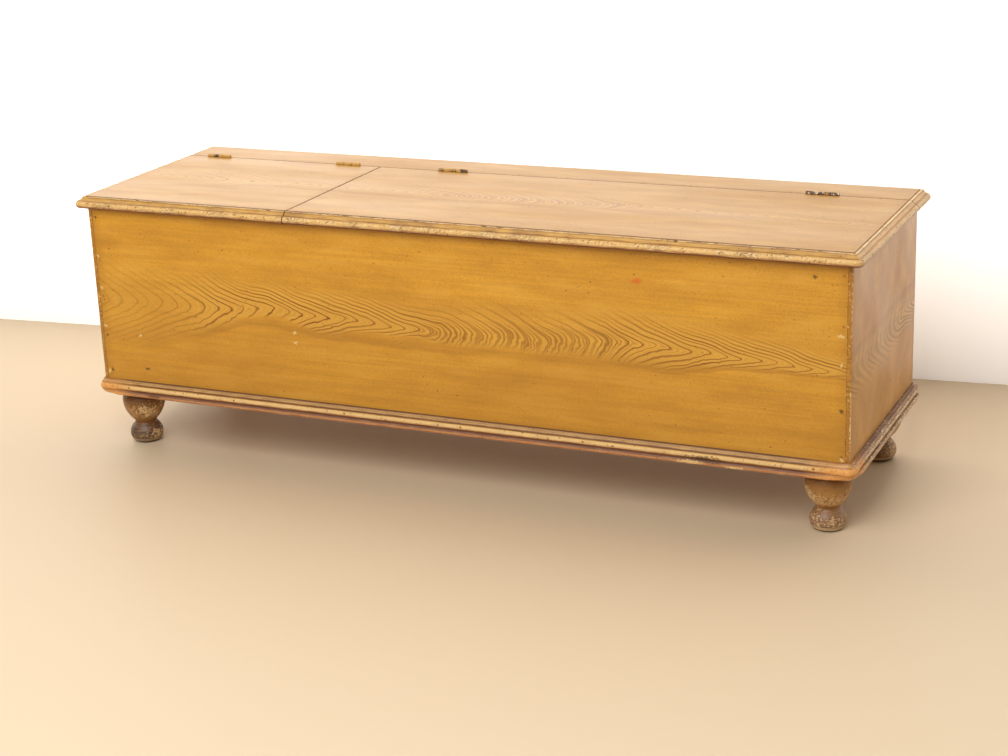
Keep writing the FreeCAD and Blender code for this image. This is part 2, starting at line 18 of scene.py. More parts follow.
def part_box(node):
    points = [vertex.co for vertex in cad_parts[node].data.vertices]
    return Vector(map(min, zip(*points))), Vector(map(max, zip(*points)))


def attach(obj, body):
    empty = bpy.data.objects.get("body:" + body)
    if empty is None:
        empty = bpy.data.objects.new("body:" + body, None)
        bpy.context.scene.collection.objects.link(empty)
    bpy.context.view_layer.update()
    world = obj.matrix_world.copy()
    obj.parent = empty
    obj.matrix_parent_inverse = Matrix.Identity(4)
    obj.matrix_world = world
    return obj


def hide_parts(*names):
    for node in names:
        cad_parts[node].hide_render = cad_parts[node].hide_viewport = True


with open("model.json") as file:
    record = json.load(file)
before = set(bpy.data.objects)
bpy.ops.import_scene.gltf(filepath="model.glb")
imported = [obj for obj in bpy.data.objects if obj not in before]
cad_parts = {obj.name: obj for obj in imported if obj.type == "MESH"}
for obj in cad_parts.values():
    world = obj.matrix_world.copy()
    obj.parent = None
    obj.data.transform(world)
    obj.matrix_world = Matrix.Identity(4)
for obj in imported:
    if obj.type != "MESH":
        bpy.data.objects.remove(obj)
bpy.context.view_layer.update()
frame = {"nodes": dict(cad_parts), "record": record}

log = logging.getLogger("blanket_chest")

MM = 0.001
BODY_OF = {node: body for body, nodes in frame["record"]["behaviour"]["bodies"].items() for node in nodes}

Array = np.ndarray
Shell = tuple[Array, list]
Socket = bpy.types.NodeSocket
Span = tuple[float, float]
Point = tuple[float, float, float]
Table = tuple[Span, ...]
Stops = tuple[tuple[float, str], ...]

RIGHT, LEFT = Vector((1, 0, 0)), Vector((-1, 0, 0))
BACK, FRONT = Vector((0, 1, 0)), Vector((0, -1, 0))
UP, DOWN = Vector((0, 0, 1)), Vector((0, 0, -1))

# The ground coat that shows in a chip
CHIPPED_PAINT = "#E9C684"
# How nearly a face has to look one way to count as facing it
FACING = 0.7
# How far a point of a board has to lean two ways to be on an edge
ON_EDGE = 0.05


class Axis(Enum):
    """An axis of the chest, as its place in a point."""

    X = 0
    Y = 1
    Z = 2


class Slot(Enum):
    """The record's material slots for the pieces that are built here."""

    PAINT = "grained_paint"
    MOULDING = "worn_moulding"
    FOOT = "turned_foot"
    PINE = "bare_pine"
    HINGE = "hinge_iron"


def linear(colour: str) -> tuple[float, float, float, float]:
    """Turn an sRGB hex colour into linear light.

    Args:
        colour: a hash mark and six hex digits.

    Returns:
        Red, green, blue and a full alpha.
    """
    parts = [int(colour[place:place + 2], 16) / 255 for place in (1, 3, 5)]
    red, green, blue = (c / 12.92 if c <= 0.04045 else ((c + 0.055) / 1.055) ** 2.4 for c in parts)
    return red, green, blue, 1.0


def per(size: float) -> float:
    """Return the texture scale, per metre, that gives lumps of a size in millimetres."""
    return 1 / (size * MM)


def grain_sizes(along: Axis, length: float, width: float) -> list[float]:
    """Return the size of a grain on each axis: its length along one of them, and its width across it."""
    return [length if axis is along else width for axis in Axis]


# Nodes

class Graph:
    """The nodes of one material or of the world, added one at a time."""

    def __init__(self, owner: bpy.types.ID) -> None:
        """Start with no nodes in the owner.

        Args:
            owner: the material or the world.
        """
        owner.use_nodes = True
        self.owner = owner
        self.tree = owner.node_tree
        self.tree.nodes.clear()

    def add(self, kind: str, *links: object, out: int = 0, points: Table = (), stops: Stops = (),
            **settings: object) -> Socket | None:
        """Add one node with its settings and links.

        Args:
            kind: the node's type, without its first word.
            links: sockets or values for the node's open inputs, in order, with None to leave one alone.
            out: which of the node's open outputs to return.
            points: the points of a curve.
            stops: the places and hex colours of a ramp.
            settings: the node's own options, and with a capital letter its inputs by name.

        Returns:
            The chosen output, or None from a node that has none.
        """
        node = self.tree.nodes.new("ShaderNode" + kind)
        named = {key.replace("_", " "): value for key, value in settings.items() if key[0].isupper()}
        for key, value in settings.items():
            if not key[0].isupper():
                setattr(node, key, value)
        if points:
            curve = node.mapping.curves[0]
            curve.points[0].location = points[0]
            curve.points[1].location = points[-1]
            for point in points[1:-1]:
                curve.points.new(*point)
            node.mapping.update()
        for index, (place, colour) in enumerate(stops):
            stop = node.color_ramp.elements[index] if index < 2 else node.color_ramp.elements.new(place)
            stop.position = place
            stop.color = linear(colour)
        pairs = list(zip([s for s in node.inputs if s.enabled], links))
        pairs += [(node.inputs[name], value) for name, value in named.items()]
        for socket, value in pairs:
            if isinstance(value, bpy.types.NodeSocket):
                self.tree.links.new(value, socket)
            elif value is not None:
                socket.default_value = value
        shown = [s for s in node.outputs if s.enabled]
        return shown[out] if shown else None

    def place(self) -> Socket:
        """Return the point on the chest at rest, in metres."""
        return self.add("TexCoord", out=3)

    def axes(self, place: Socket) -> list[Socket]:
        """Return the three parts of a point."""
        return list(self.add("SeparateXYZ", place).node.outputs)

    def mottle(self, place: Socket, size: float, detail: float) -> Socket:
        """Return noise from 0 to 1 with lumps of a size in millimetres."""
        return self.add("TexNoise", place, Scale=per(size), Detail=detail)

    def streaked(self, place: Socket, sizes: list[float], **settings: float) -> Socket:
        """Return noise from 0 to 1 whose lumps have their own size on each axis, in millimetres."""
        drawn = self.add("Mapping", place, Scale=[per(size) for size in sizes])
        return self.add("TexNoise", drawn, Scale=1.0, **settings)

    def maths(self, operation: str, *values: object) -> Socket:
        """Return the result of one operation on sockets and values."""
        return self.add("Math", *values, operation=operation)

    def scaled(self, value: object, factor: object, base: object = None) -> Socket:
        """Return a value times a factor, plus a base where there is one."""
        return self.maths("MULTIPLY" if base is None else "MULTIPLY_ADD", value, factor, base)

    def fade(self, value: Socket, start: object, end: object, first: object, last: object,
             smooth: bool = False) -> Socket:
        """Turn a value from start to end into one from first to last, which it keeps past both."""
        curve = "SMOOTHSTEP" if smooth else "LINEAR"
        return self.add("MapRange", value, start, end, first, last, interpolation_type=curve)

    def swing(self, noise_value: Socket, size: float, calm: float = 0.25) -> Socket:
        """Spread noise from minus a size to plus it, reached a calm share short of 0 and of 1."""
        return self.fade(noise_value, calm, 1 - calm, -size, size)

    def over(self, colour: object, share: Socket, tint: object) -> Socket:
        """Lay a tint over a colour by a share from 0 to 1, each of them a socket or a hex colour."""
        layers = [linear(layer) if isinstance(layer, str) else layer for layer in (colour, tint)]
        return self.add("Mix", share, *layers, data_type="RGBA")

    def washes(self, colour: object, *layers: tuple[Socket, Span, float, str]) -> Socket:
        """Lay tints over a colour, in order.

        Args:
            colour: what is there without them, a socket or a hex colour.
            layers: for each tint a mask, the two values of it between which the tint comes in, the most that
                it covers, from 0 to 1, and its hex colour.

        Returns:
            The colour with the tints.
        """
        for mask, fade, share, tint in layers:
            colour = self.over(colour, self.fade(mask, *fade, 0.0, share), tint)
        return colour

    def finish(self, **sockets: object) -> bpy.types.Material:
        """End the graph in a surface.

        Args:
            sockets: the surface's inputs, by name.

        Returns:
            The material.
        """
        surface = self.add("BsdfPrincipled", **sockets)
        self.add("OutputMaterial", surface)
        return self.owner


# Finishes

@dataclass(frozen=True)
class CombedFigure:
    """A band of nested hooks, combed and wiped into wet glaze, with their points all one way.

    The figure has its own length, and its height is measured from its spine, where the hooks turn. Each
    table gives a share of a size at shares of the length.
    """

    along: Axis
    up: Axis
    start: float
    spine_level: float
    turned: bool = False
    length: float = 1524.0
    spine_swing: float = 40.0
    spine: Table = ((0.0, 0.46), (0.13, 0.464), (0.20, 0.50), (0.26, 0.56), (0.30, 0.515), (0.39, 0.50),
                    (0.45, 0.44), (0.55, 0.464), (0.66, 0.47), (0.75, 0.61), (0.82, 0.525), (0.90, 0.464),
                    (1.0, 0.33))
    flattest: float = 5.0
    upper_run: Table = ((0.0, 0.45), (0.13, 0.52), (0.25, 0.78), (0.40, 0.84), (0.50, 0.52), (0.62, 0.44),
                        (0.72, 0.66), (0.85, 0.92), (1.0, 0.96))
    lower_run: Table = ((0.0, 0.55), (0.13, 0.55), (0.19, 0.35), (0.25, 0.30), (0.30, 0.50), (0.36, 0.90),
                        (0.45, 0.90), (0.50, 0.24), (0.68, 0.20), (0.75, 0.60), (0.85, 0.90), (1.0, 1.0))
    widest_turn: float = 30.0
    turn: Table = ((0.0, 0.70), (0.15, 0.50), (0.21, 0.16), (0.45, 0.18), (0.51, 0.55), (0.68, 0.65),
                   (0.74, 0.20), (1.0, 0.10))
    band: float = 120.0
    top: Table = ((0.0, 0.80), (0.15, 0.70), (0.25, 0.52), (0.35, 0.48), (0.45, 0.48), (0.55, 0.56),
                  (0.70, 0.54), (0.80, 0.48), (0.95, 0.34), (1.0, 0.22))
    foot: Table = ((0.0, 0.78), (0.066, 0.74), (0.13, 0.56), (0.17, 0.40), (0.21, 0.22), (0.24, 0.14),
                   (0.275, 0.13), (0.33, 0.27), (0.37, 0.22), (0.42, 0.15), (0.50, 0.20), (0.66, 0.22),
                   (0.72, 0.29), (0.755, 0.34), (0.82, 0.25), (0.90, 0.14), (1.0, 0.07))
    rim: Table = ((0.0, 0.80), (0.066, 0.76), (0.13, 0.58), (0.19, 0.38), (0.24, 0.27), (0.29, 0.30),
                  (0.35, 0.33), (0.45, 0.34), (0.60, 0.31), (0.70, 0.32), (0.755, 0.38), (0.82, 0.27),
                  (0.90, 0.16), (1.0, 0.09))
    strength: Table = ((0.0, 0.28), (0.10, 0.36), (0.15, 0.60), (0.20, 1.0), (0.46, 1.0), (0.51, 0.72),
                       (0.68, 0.72), (0.75, 1.0), (0.97, 1.0), (1.0, 0.85))
    fine_strength: Table = ((0.0, 0.20), (0.20, 0.22), (0.44, 0.22), (0.50, 1.0), (0.70, 1.0), (0.75, 0.30),
                            (1.0, 0.15))
    pitch: float = 31.0
    fine_pitch: float = 10.5
    tip_stroke: float = 3.4
    arm_stroke: float = 1.9
    arm_least: float = 0.6
    wander: float = 6.0
    feather: float = 1.8
    tear: float = 4.8
    weights: Span = (0.65, 1.05)
    core: float = 0.03
    drift: float = 0.3
    drift_run: float = 2.5
    lump_size: float = 85.0
    ripple_size: float = 15.0
    side_blend: float = 3.0
    tip_zone: Span = (2.0, 16.0)
    fine_zone: Span = (8.0, 32.0)
    fine_far: float = 0.25
    fine_width: float = 0.40
    fine_share: float = 0.95
    top_fade: Span = (0.30, 1.05)
    foot_fade: Span = (0.65, 1.15)
    rim_rise: Span = (0.40, 0.97)
    rim_fall: Span = (0.99, 1.14)

    def table(self, graph: Graph, share: Socket, points: Table, size: float) -> Socket:
        """Return a table's value at a share of the length, as so much of the given size."""
        return graph.scaled(graph.add("FloatCurve", 1.0, share, points=points), size)

    def part_of(self, graph: Graph, share: Socket, height: Socket, points: Table) -> Socket:
        """Return a height as a share of the band that a table gives there."""
        return graph.maths("DIVIDE", height, self.table(graph, share, points, self.band * MM))

    def combed(self, graph: Graph, reach: Socket, pitch: float, width: object) -> Socket:
        """Draw one set of combed lines.

        Args:
            graph: the paint's nodes.
            reach: the distance across the lines.
            pitch: how far apart they are, in millimetres.
            width: how much of the pitch half a line takes up.

        Returns:
            The lines, from 0 to 1, each with its own strength.
        """
        drift = graph.add("TexNoise", None, noise_dimensions="1D", W=reach, Scale=per(pitch * self.drift_run),
                          Detail=1.0)
        uneven = graph.swing(drift, self.drift * pitch * MM, calm=0.2)
        phase = graph.scaled(graph.maths("ADD", reach, uneven), per(pitch))
        number = graph.maths("ROUND", phase)
        chance = graph.add("TexWhiteNoise", None, noise_dimensions="1D", W=number)
        weight = graph.fade(chance, 0.0, 1.0, *self.weights)
        away = graph.maths("ABSOLUTE", graph.maths("SUBTRACT", phase, number))
        return graph.scaled(graph.fade(away, self.core, width, 1.0, 0.0, smooth=True), weight)

    def draw(self, graph: Graph, place: Socket) -> tuple[Socket, Socket, Socket]:
        """Draw the figure.

        Args:
            graph: the paint's nodes.
            place: the point on the chest.

        Returns:
            The hooks, the wiped ground between them and the shade beneath them, each from 0 to 1.
        """
        heading = -1.0 if self.turned else 1.0
        axes = graph.axes(place)
        travel = graph.scaled(axes[self.along.value], heading, -heading * self.start)
        rise = graph.scaled(axes[self.up.value], heading, -heading * self.spine_level)
        share = graph.scaled(travel, per(self.length))

        wander = graph.swing(graph.mottle(place, self.lump_size, detail=1.5), self.wander * MM, calm=0.2)
        spine = graph.add("FloatCurve", 1.0, share, points=self.spine)
        swing = graph.swing(spine, self.spine_swing * MM, calm=0.0)
        height = graph.maths("ADD", graph.maths("SUBTRACT", rise, swing), wander)
        upper = graph.maths("MAXIMUM", height, 0.0)
        lower = graph.maths("MAXIMUM", graph.scaled(height, -1.0), 0.0)
        level = graph.maths("ABSOLUTE", height)

        turn = self.table(graph, share, self.turn, self.widest_turn * MM)
        arm = graph.add("VectorMath", graph.add("CombineXYZ", height, turn, 0.0), operation="LENGTH")
        bend = graph.maths("SUBTRACT", arm, turn)
        side = graph.fade(height, -self.side_blend * MM, self.side_blend * MM, 0.0, 1.0, smooth=True)
        run = graph.add("Mix", side, self.table(graph, share, self.lower_run, self.flattest),
                        self.table(graph, share, self.upper_run, self.flattest))
        reach = graph.scaled(bend, run, travel)
        ripples = graph.swing(graph.mottle(place, self.ripple_size, detail=1.0), 1.0)
        loose = graph.add("Mix", side, self.tear * MM, self.feather * MM)
        reach = graph.scaled(ripples, loose, reach)

        tip_zone, fine_zone = ([edge * MM for edge in zone] for zone in (self.tip_zone, self.fine_zone))
        stroke = self.arm_stroke / self.pitch
        slant = graph.scaled(run, stroke, self.arm_least * stroke)
        spread = graph.fade(level, *tip_zone, self.tip_stroke / self.pitch, slant)
        fine = self.combed(graph, reach, self.fine_pitch, self.fine_width)
        fine = graph.scaled(fine, self.table(graph, share, self.fine_strength, self.fine_share))
        fine = graph.scaled(fine, graph.fade(level, *fine_zone, 1.0, self.fine_far))
        lines = graph.maths("MAXIMUM", self.combed(graph, reach, self.pitch, spread), fine)

        top_share = self.part_of(graph, share, upper, self.top)
        foot_share = self.part_of(graph, share, lower, self.foot)
        above = graph.fade(top_share, *self.top_fade, 1.0, 0.0, smooth=True)
        below = graph.fade(foot_share, *self.foot_fade, 1.0, 0.0, smooth=True)
        strength = self.table(graph, share, self.strength, 1.0)
        wiped = graph.scaled(graph.scaled(above, below), strength)

        rim_share = self.part_of(graph, share, lower, self.rim)
        deepening = graph.fade(rim_share, *self.rim_rise, 0.0, 1.0, smooth=True)
        ending = graph.fade(rim_share, *self.rim_fall, 1.0, 0.0, smooth=True)
        shade = graph.scaled(graph.scaled(deepening, ending), strength)
        return graph.scaled(lines, wiped), wiped, shade


@dataclass(frozen=True)
class Mark:
    """One chip, scratch or spot on a painted face: its place, its spread and its colour."""

    place: Point
    spread: Point
    tint: str
    raggedness: float = 0.7
    rim: Span = (0.55, 0.95)
    cover: float = 0.8

    def paint(self, graph: Graph, place: Socket, ragged: Socket, colour: Socket) -> Socket:
        """Lay the mark over a colour.

        Args:
            graph: the paint's nodes.
            place: the point on the chest.
            ragged: noise from -1 to 1 that breaks up its outline.
            colour: what is there without it.

        Returns:
            The colour with the mark.
        """
        middle, reach = ([part * MM for part in parts] for parts in (self.place, self.spread))
        offset = graph.add("VectorMath", place, middle, operation="SUBTRACT")
        shares = graph.add("VectorMath", offset, reach, operation="DIVIDE")
        away = graph.add("VectorMath", shares, operation="LENGTH")
        away = graph.scaled(ragged, self.raggedness, away)
        return graph.over(colour, graph.fade(away, *self.rim, self.cover, 0.0), self.tint)


def face_marks(y: float, depth: float, spots: dict[str, tuple[tuple[float, ...], ...]]) -> tuple[Mark, ...]:
    """Return the marks on a face that looks to the front.

    Args:
        y: where the face is, in millimetres.
        depth: how far in from it the marks reach.
        spots: for each colour, the X and Z of its marks and their spread along both.

    Returns:
        The marks, in order.
    """
    return tuple(Mark((x, y, z), (wide, depth, tall), tint)
                 for tint, places in spots.items() for x, z, wide, tall in places)


@dataclass(frozen=True)
class GrainedPaint:
    """Scumbled oil paint: a brown glaze brushed and combed over a golden ground, under old varnish.

    To the eye it is a deep honey yellow with long soft brush streaks, sharper brown figure where the comb
    went, a satin gloss that pales at a low angle, and specks, rubbed spots and dirty edges from use. Towards
    the foot of a board it darkens with painted shade.

    Each fade gives the two values of a noise between which a layer comes in, and each strength the most that
    it covers.
    """

    name: str
    node: str
    along: Axis
    across: Axis
    figures: tuple[CombedFigure, ...] = ()
    marks: tuple[Mark, ...] = ()
    figure_share: float = 1.0
    wiped_share: float = 0.6
    shade_share: float = 0.35
    line_relief: float = 0.4
    ground: str = "#E0A32E"
    streak: str = "#CC902C"
    wiped: str = "#E5AF48"
    glaze: str = "#824600"
    shadow: str = "#9C661C"
    speck: str = "#693A10"
    rubbed: str = "#E6BE78"
    dirt: str = "#53361B"
    streak_length: float = 240.0
    streak_width: float = 4.0
    streak_fade: Span = (0.38, 0.66)
    streak_strength: float = 0.7
    cloud_length: float = 380.0
    cloud_width: float = 75.0
    cloud_fade: Span = (0.35, 0.65)
    cloud_strength: float = 0.6
    grit_size: float = 3.0
    grit_fade: Span = (0.4, 0.75)
    grit_strength: float = 0.3
    blotch_length: float = 110.0
    blotch_width: float = 26.0
    blotch_fade: Span = (0.50, 0.75)
    blotch_strength: float = 0.28
    wipe_fade: Span = (0.50, 0.28)
    wipe_strength: float = 0.35
    sparse_size: float = 55.0
    speck_size: float = 5.0
    speck_start: float = 0.67
    speck_blur: float = 0.06
    speck_zone: Span = (0.46, 0.60)
    speck_strength: float = 0.8
    rub_fade: Span = (0.27, 0.22)
    rub_strength: float = 0.6
    edge_wear: float = 5.0
    edge_ragged: float = 0.7
    edge_fade: Span = (-0.2, -0.5)
    edge_zone: Span = (0.44, 0.58)
    edge_least: float = 0.1
    edge_strength: float = 0.8
    soil_reach: float = 4.0
    soil_strength: float = 0.3
    edge_dirt: float = 1.1
    dirt_blur: float = 0.5
    dirt_strength: float = 0.85
    painted_shade_height: float = 1.0
    painted_shade_strength: float = 0.3
    front_joint: float = 0.0
    joint_ragged: float = 0.6
    joint_blur: float = 0.8
    joint_strength: float = 0.9
    roughness: float = 0.34
    gloss_fade: Span = (0.3, 0.7)
    gloss_swing: Span = (-0.05, 0.08)

    def stretched(self, graph: Graph, place: Socket, length: float, width: float) -> Socket:
        """Return noise drawn out along the board, with streaks of a length and a width."""
        return graph.streaked(place, grain_sizes(self.along, length, width), Detail=3.0)

    def edge_distance(self, graph: Graph, place: Socket) -> Socket:
        """Return the distance to the board's nearest edge.

        Args:
            graph: the paint's nodes.
            place: the point on the chest.

        Returns:
            The distance, in metres.
        """
        low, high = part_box(self.node)
        middle, half = (low + high) / 2, (high - low) / 2
        centred = graph.add("VectorMath", place, tuple(middle), operation="SUBTRACT")
        spans = graph.add("VectorMath", centred, operation="ABSOLUTE")
        inset = graph.add("VectorMath", tuple(half), spans, operation="SUBTRACT")
        axes = graph.axes(inset)
        return graph.maths("MINIMUM", axes[self.along.value], axes[self.across.value])

    def edge_layers(self, graph: Graph, place: Socket, spots: Socket,
                    sparse: Socket) -> list[tuple[Socket, str]]:
        """Draw the wear and the dirt at the board's edges, and the painted shade towards its foot.

        Args:
            graph: the paint's nodes.
            place: the point on the chest.
            spots: noise that breaks up the wear's outline.
            sparse: noise that says where there is any wear.

        Returns:
            The share and the tint of each layer, from the lowest, the dark joint line last.
        """
        wear = self.edge_wear * MM
        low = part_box(self.node)[0]
        axes = graph.axes(place)
        edge = self.edge_distance(graph, place)
        ragged = graph.swing(spots, 1.0)
        start, end = (share * wear for share in self.edge_fade)
        worn = graph.scaled(ragged, self.edge_ragged * wear, edge)
        pale = graph.scaled(graph.fade(worn, start, end, 0.0, self.edge_strength),
                            graph.fade(sparse, *self.edge_zone, self.edge_least, 1.0))
        soil = graph.fade(edge, 0.0, self.soil_reach * wear, self.soil_strength, 0.0)
        dirty = graph.scaled(ragged, -self.dirt_blur * MM, edge)
        line = graph.fade(dirty, (self.edge_dirt - self.dirt_blur) * MM, self.edge_dirt * MM,
                          self.dirt_strength, 0.0)
        foot = low[self.across.value]
        # Painted shade: the board darkens towards its foot over the painted shade height
        painted_low_shade = graph.fade(axes[self.across.value], foot, foot + self.painted_shade_height * MM,
                           self.painted_shade_strength, 0.0)
        if self.front_joint:
            front = graph.scaled(ragged, self.joint_ragged * MM, axes[Axis.Y.value])
            joint_end = low.y + self.front_joint * MM
            joint = graph.fade(front, joint_end - self.joint_blur * MM, joint_end, self.joint_strength, 0.0)
            line = graph.maths("MAXIMUM", line, joint)
        return [(painted_low_shade, self.shadow), (soil, self.shadow), (pale, self.rubbed), (line, self.dirt)]

    def material(self) -> bpy.types.Material:
        """Build the paint.

        Returns:
            The material.
        """
        graph = Graph(bpy.data.materials.new(self.name))
        place = graph.place()
        streaks = self.stretched(graph, place, self.streak_length, self.streak_width)
        clouds = self.stretched(graph, place, self.cloud_length, self.cloud_width)
        blotches = self.stretched(graph, place, self.blotch_length, self.blotch_width)
        grit = graph.mottle(place, self.grit_size, detail=2.0)
        spots = graph.mottle(place, self.speck_size, detail=2.0)
        sparse = graph.mottle(place, self.sparse_size, detail=0.0)
        colour = graph.washes(self.ground,
                              (streaks, self.streak_fade, self.streak_strength, self.streak),
                              (clouds, self.cloud_fade, self.cloud_strength, self.streak),
                              (grit, self.grit_fade, self.grit_strength, self.shadow),
                              (blotches, self.blotch_fade, self.blotch_strength, self.shadow),
                              (blotches, self.wipe_fade, self.wipe_strength, self.wiped))
        height = streaks
        for figure in self.figures:
            lines, wiped, shade = figure.draw(graph, place)
            for mask, share, tint in ((wiped, self.wiped_share, self.wiped),
                                      (shade, self.shade_share, self.shadow),
                                      (lines, self.figure_share, self.glaze)):
                colour = graph.over(colour, graph.scaled(mask, share), tint)
            height = graph.scaled(lines, self.line_relief, height)

        specks = graph.fade(spots, self.speck_start, self.speck_start + self.speck_blur, 0.0,
                            self.speck_strength)
        specks = graph.scaled(specks, graph.fade(sparse, *self.speck_zone, 0.0, 1.0))
        colour = graph.over(colour, specks, self.speck)
        colour = graph.washes(colour, (spots, self.rub_fade, self.rub_strength, self.rubbed))
        layers = self.edge_layers(graph, place, spots, sparse)
        for share, tint in layers:
            colour = graph.over(colour, share, tint)
        broken = graph.swing(grit, 1.0)
        for mark in self.marks:
            colour = mark.paint(graph, place, broken, colour)

        gloss = graph.fade(clouds, *self.gloss_fade, *(self.roughness + step for step in self.gloss_swing))
        rough = graph.add("Mix", layers[-1][0], gloss, 1.0)
        bump = graph.add("Bump", Strength=0.35, Distance=0.25 * MM, Height=height)
        return graph.finish(Base_Color=colour, Roughness=rough, IOR=1.5, Normal=bump)


@dataclass(frozen=True)
class BandedPaint:
    """Old paint on a shaped edge or a turning, rubbed and chipped where hands and shoes reach it.

    To the eye it is a set of bands that follow the shape: brown in the hollows, darker in the quirks from
    dirt and painted shade, speckled pale where the crowns are worn through to the ground coat, and bare
    orange wood at the corners. The stops given for the mouldings and feet also carry painted light: paler
    crowns as painted highlight, and darker undersides and top edges as painted shade.
    """

    name: str
    low: float
    high: float
    stops: Stops
    exposed: Table
    pale: str = "#EBC88C"
    chip: str = "#F0D8A8"
    dirt: str = "#6E402A"
    wood: str = "#EBA95F"
    drift: float = 0.03
    streak_length: float = 30.0
    streak_width: float = 2.2
    streak_fade: Span = (0.45, 0.68)
    streak_share: float = 0.5
    shade_fade: Span = (0.50, 0.30)
    shade_share: float = 0.22
    patch_size: float = 60.0
    soil_fade: Span = (0.48, 0.70)
    soil_share: float = 0.15
    chip_length: float = 4.5
    chip_width: float = 2.2
    chip_start: float = 0.88
    chip_blur: float = 0.05
    chip_gain: float = 0.18
    chip_drift: float = 0.25
    chip_share: float = 0.85
    chip_depth: float = 0.6
    chip_roughness: float = 0.25
    spot_length: float = 7.0
    spot_width: float = 3.2
    spot_slant: float = 0.7
    spot_start: float = 0.66
    spot_blur: float = 0.06
    spot_gain: float = 0.08
    spot_share: float = 0.75
    pit_spacing: float = 16.0
    pit_size: float = 0.8
    pit_rim: float = 1.8
    pit_share: float = 0.85
    joints: tuple[tuple[Axis, float, float], ...] = ()
    joint_tint: str = "#5E3822"
    joint_ragged: float = 0.4
    joint_blur: float = 0.3
    joint_share: float = 0.9
    bare_corners: Table = ()
    bare_reach: float = 80.0
    bare_core: float = 0.4
    bare_ragged: float = 9.0
    bare_share: float = 0.95
    bare_levels: Table = ((0.0, 1.0), (0.18, 1.0), (0.24, 0.6), (0.33, 0.6), (0.40, 1.0), (0.68, 1.0),
                          (0.76, 0.5), (1.0, 0.4))
    wood_fade: Span = (0.52, 0.70)
    wood_share: float = 0.55
    marks: tuple[Mark, ...] = ()
    roughness: float = 0.42
    sheen: float = 0.3

    def drawn_out(self, graph: Graph, place: Socket, length: float, width: float,
                  slant: float = 0.0) -> Socket:
        """Return noise whose lumps have a length along the edge and a width up it, and lean by a slant."""
        leaned = graph.add("Mapping", place, Rotation=(slant, slant, 0.0))
        return graph.streaked(leaned, grain_sizes(Axis.Z, width, length), Detail=3.0, Roughness=0.6)

    def material(self) -> bpy.types.Material:
        """Build the paint.

        Returns:
            The material.
        """
        graph = Graph(bpy.data.materials.new(self.name))
        place = graph.place()
        axes = graph.axes(place)
        streaks = self.drawn_out(graph, place, self.streak_length, self.streak_width)
        flakes = self.drawn_out(graph, place, self.chip_length, self.chip_width)
        spots = self.drawn_out(graph, place, self.spot_length, self.spot_width, self.spot_slant)
        patches = graph.mottle(place, self.patch_size, detail=2.0)
        ragged = graph.swing(flakes, 1.0)

        level = graph.fade(axes[Axis.Z.value], self.low, self.high, 0.0, 1.0)
        share = graph.maths("ADD", level, graph.swing(streaks, self.drift, calm=0.2))
        exposed = graph.add("FloatCurve", 1.0, share, points=self.exposed)
        colour = graph.washes(graph.add("ValToRGB", share, stops=self.stops),
                              (patches, self.soil_fade, self.soil_share, self.dirt),
                              (streaks, self.shade_fade, self.shade_share, self.dirt))
        rubbed = graph.fade(streaks, *self.streak_fade, 0.0, self.streak_share)
        colour = graph.over(colour, graph.scaled(rubbed, exposed), self.pale)

        lift = graph.scaled(patches, self.chip_drift, graph.scaled(exposed, self.chip_gain, flakes))
        chipped = graph.fade(lift, self.chip_start, self.chip_start + self.chip_blur, 0.0, self.chip_share)
        worn = graph.scaled(exposed, self.spot_gain, spots)
        spotted = graph.fade(worn, self.spot_start, self.spot_start + self.spot_blur, 0.0, self.spot_share)
        pits = graph.add("TexVoronoi", place, Scale=per(self.pit_spacing), Randomness=1.0)
        pit_edge = self.pit_size / self.pit_spacing
        pitted = graph.fade(pits, pit_edge, self.pit_rim * pit_edge, self.pit_share, 0.0)
        for mask, tint in ((chipped, self.chip), (spotted, self.dirt), (pitted, self.dirt)):
            colour = graph.over(colour, mask, tint)

        plan = graph.add("CombineXYZ", axes[Axis.X.value], axes[Axis.Y.value], 0.0)
        for x, y in self.bare_corners:
            away = graph.add("VectorMath", plan, (x, y, 0.0), operation="DISTANCE")
            away = graph.maths("ADD", away, graph.swing(patches, self.bare_ragged * MM, calm=0.3))
            bare = graph.fade(away, self.bare_core * self.bare_reach * MM, self.bare_reach * MM,
                              self.bare_share, 0.0)
            held = graph.add("FloatCurve", 1.0, share, points=self.bare_levels)
            wood = graph.washes(self.wood, (spots, self.wood_fade, self.wood_share, self.dirt))
            colour = graph.over(colour, graph.scaled(bare, held), wood)
        for axis, joint, width in self.joints:
            away = graph.maths("ABSOLUTE", graph.maths("SUBTRACT", axes[axis.value], joint))
            away = graph.scaled(ragged, self.joint_ragged * MM, away)
            dark = graph.fade(away, (width - self.joint_blur) * MM, width * MM, self.joint_share, 0.0)
            colour = graph.over(colour, dark, self.joint_tint)
        for mark in self.marks:
            colour = mark.paint(graph, place, ragged, colour)

        rough = graph.fade(chipped, 0.0, self.chip_share, self.roughness,
                           self.roughness + self.chip_roughness)
        relief = graph.scaled(pitted, -1.0, graph.scaled(chipped, -self.chip_depth, flakes))
        bump = graph.add("Bump", Strength=0.5, Distance=0.5 * MM, Height=relief)
        return graph.finish(Base_Color=colour, Roughness=rough, IOR=1.5, Specular_IOR_Level=self.sheen,
                            Normal=bump)


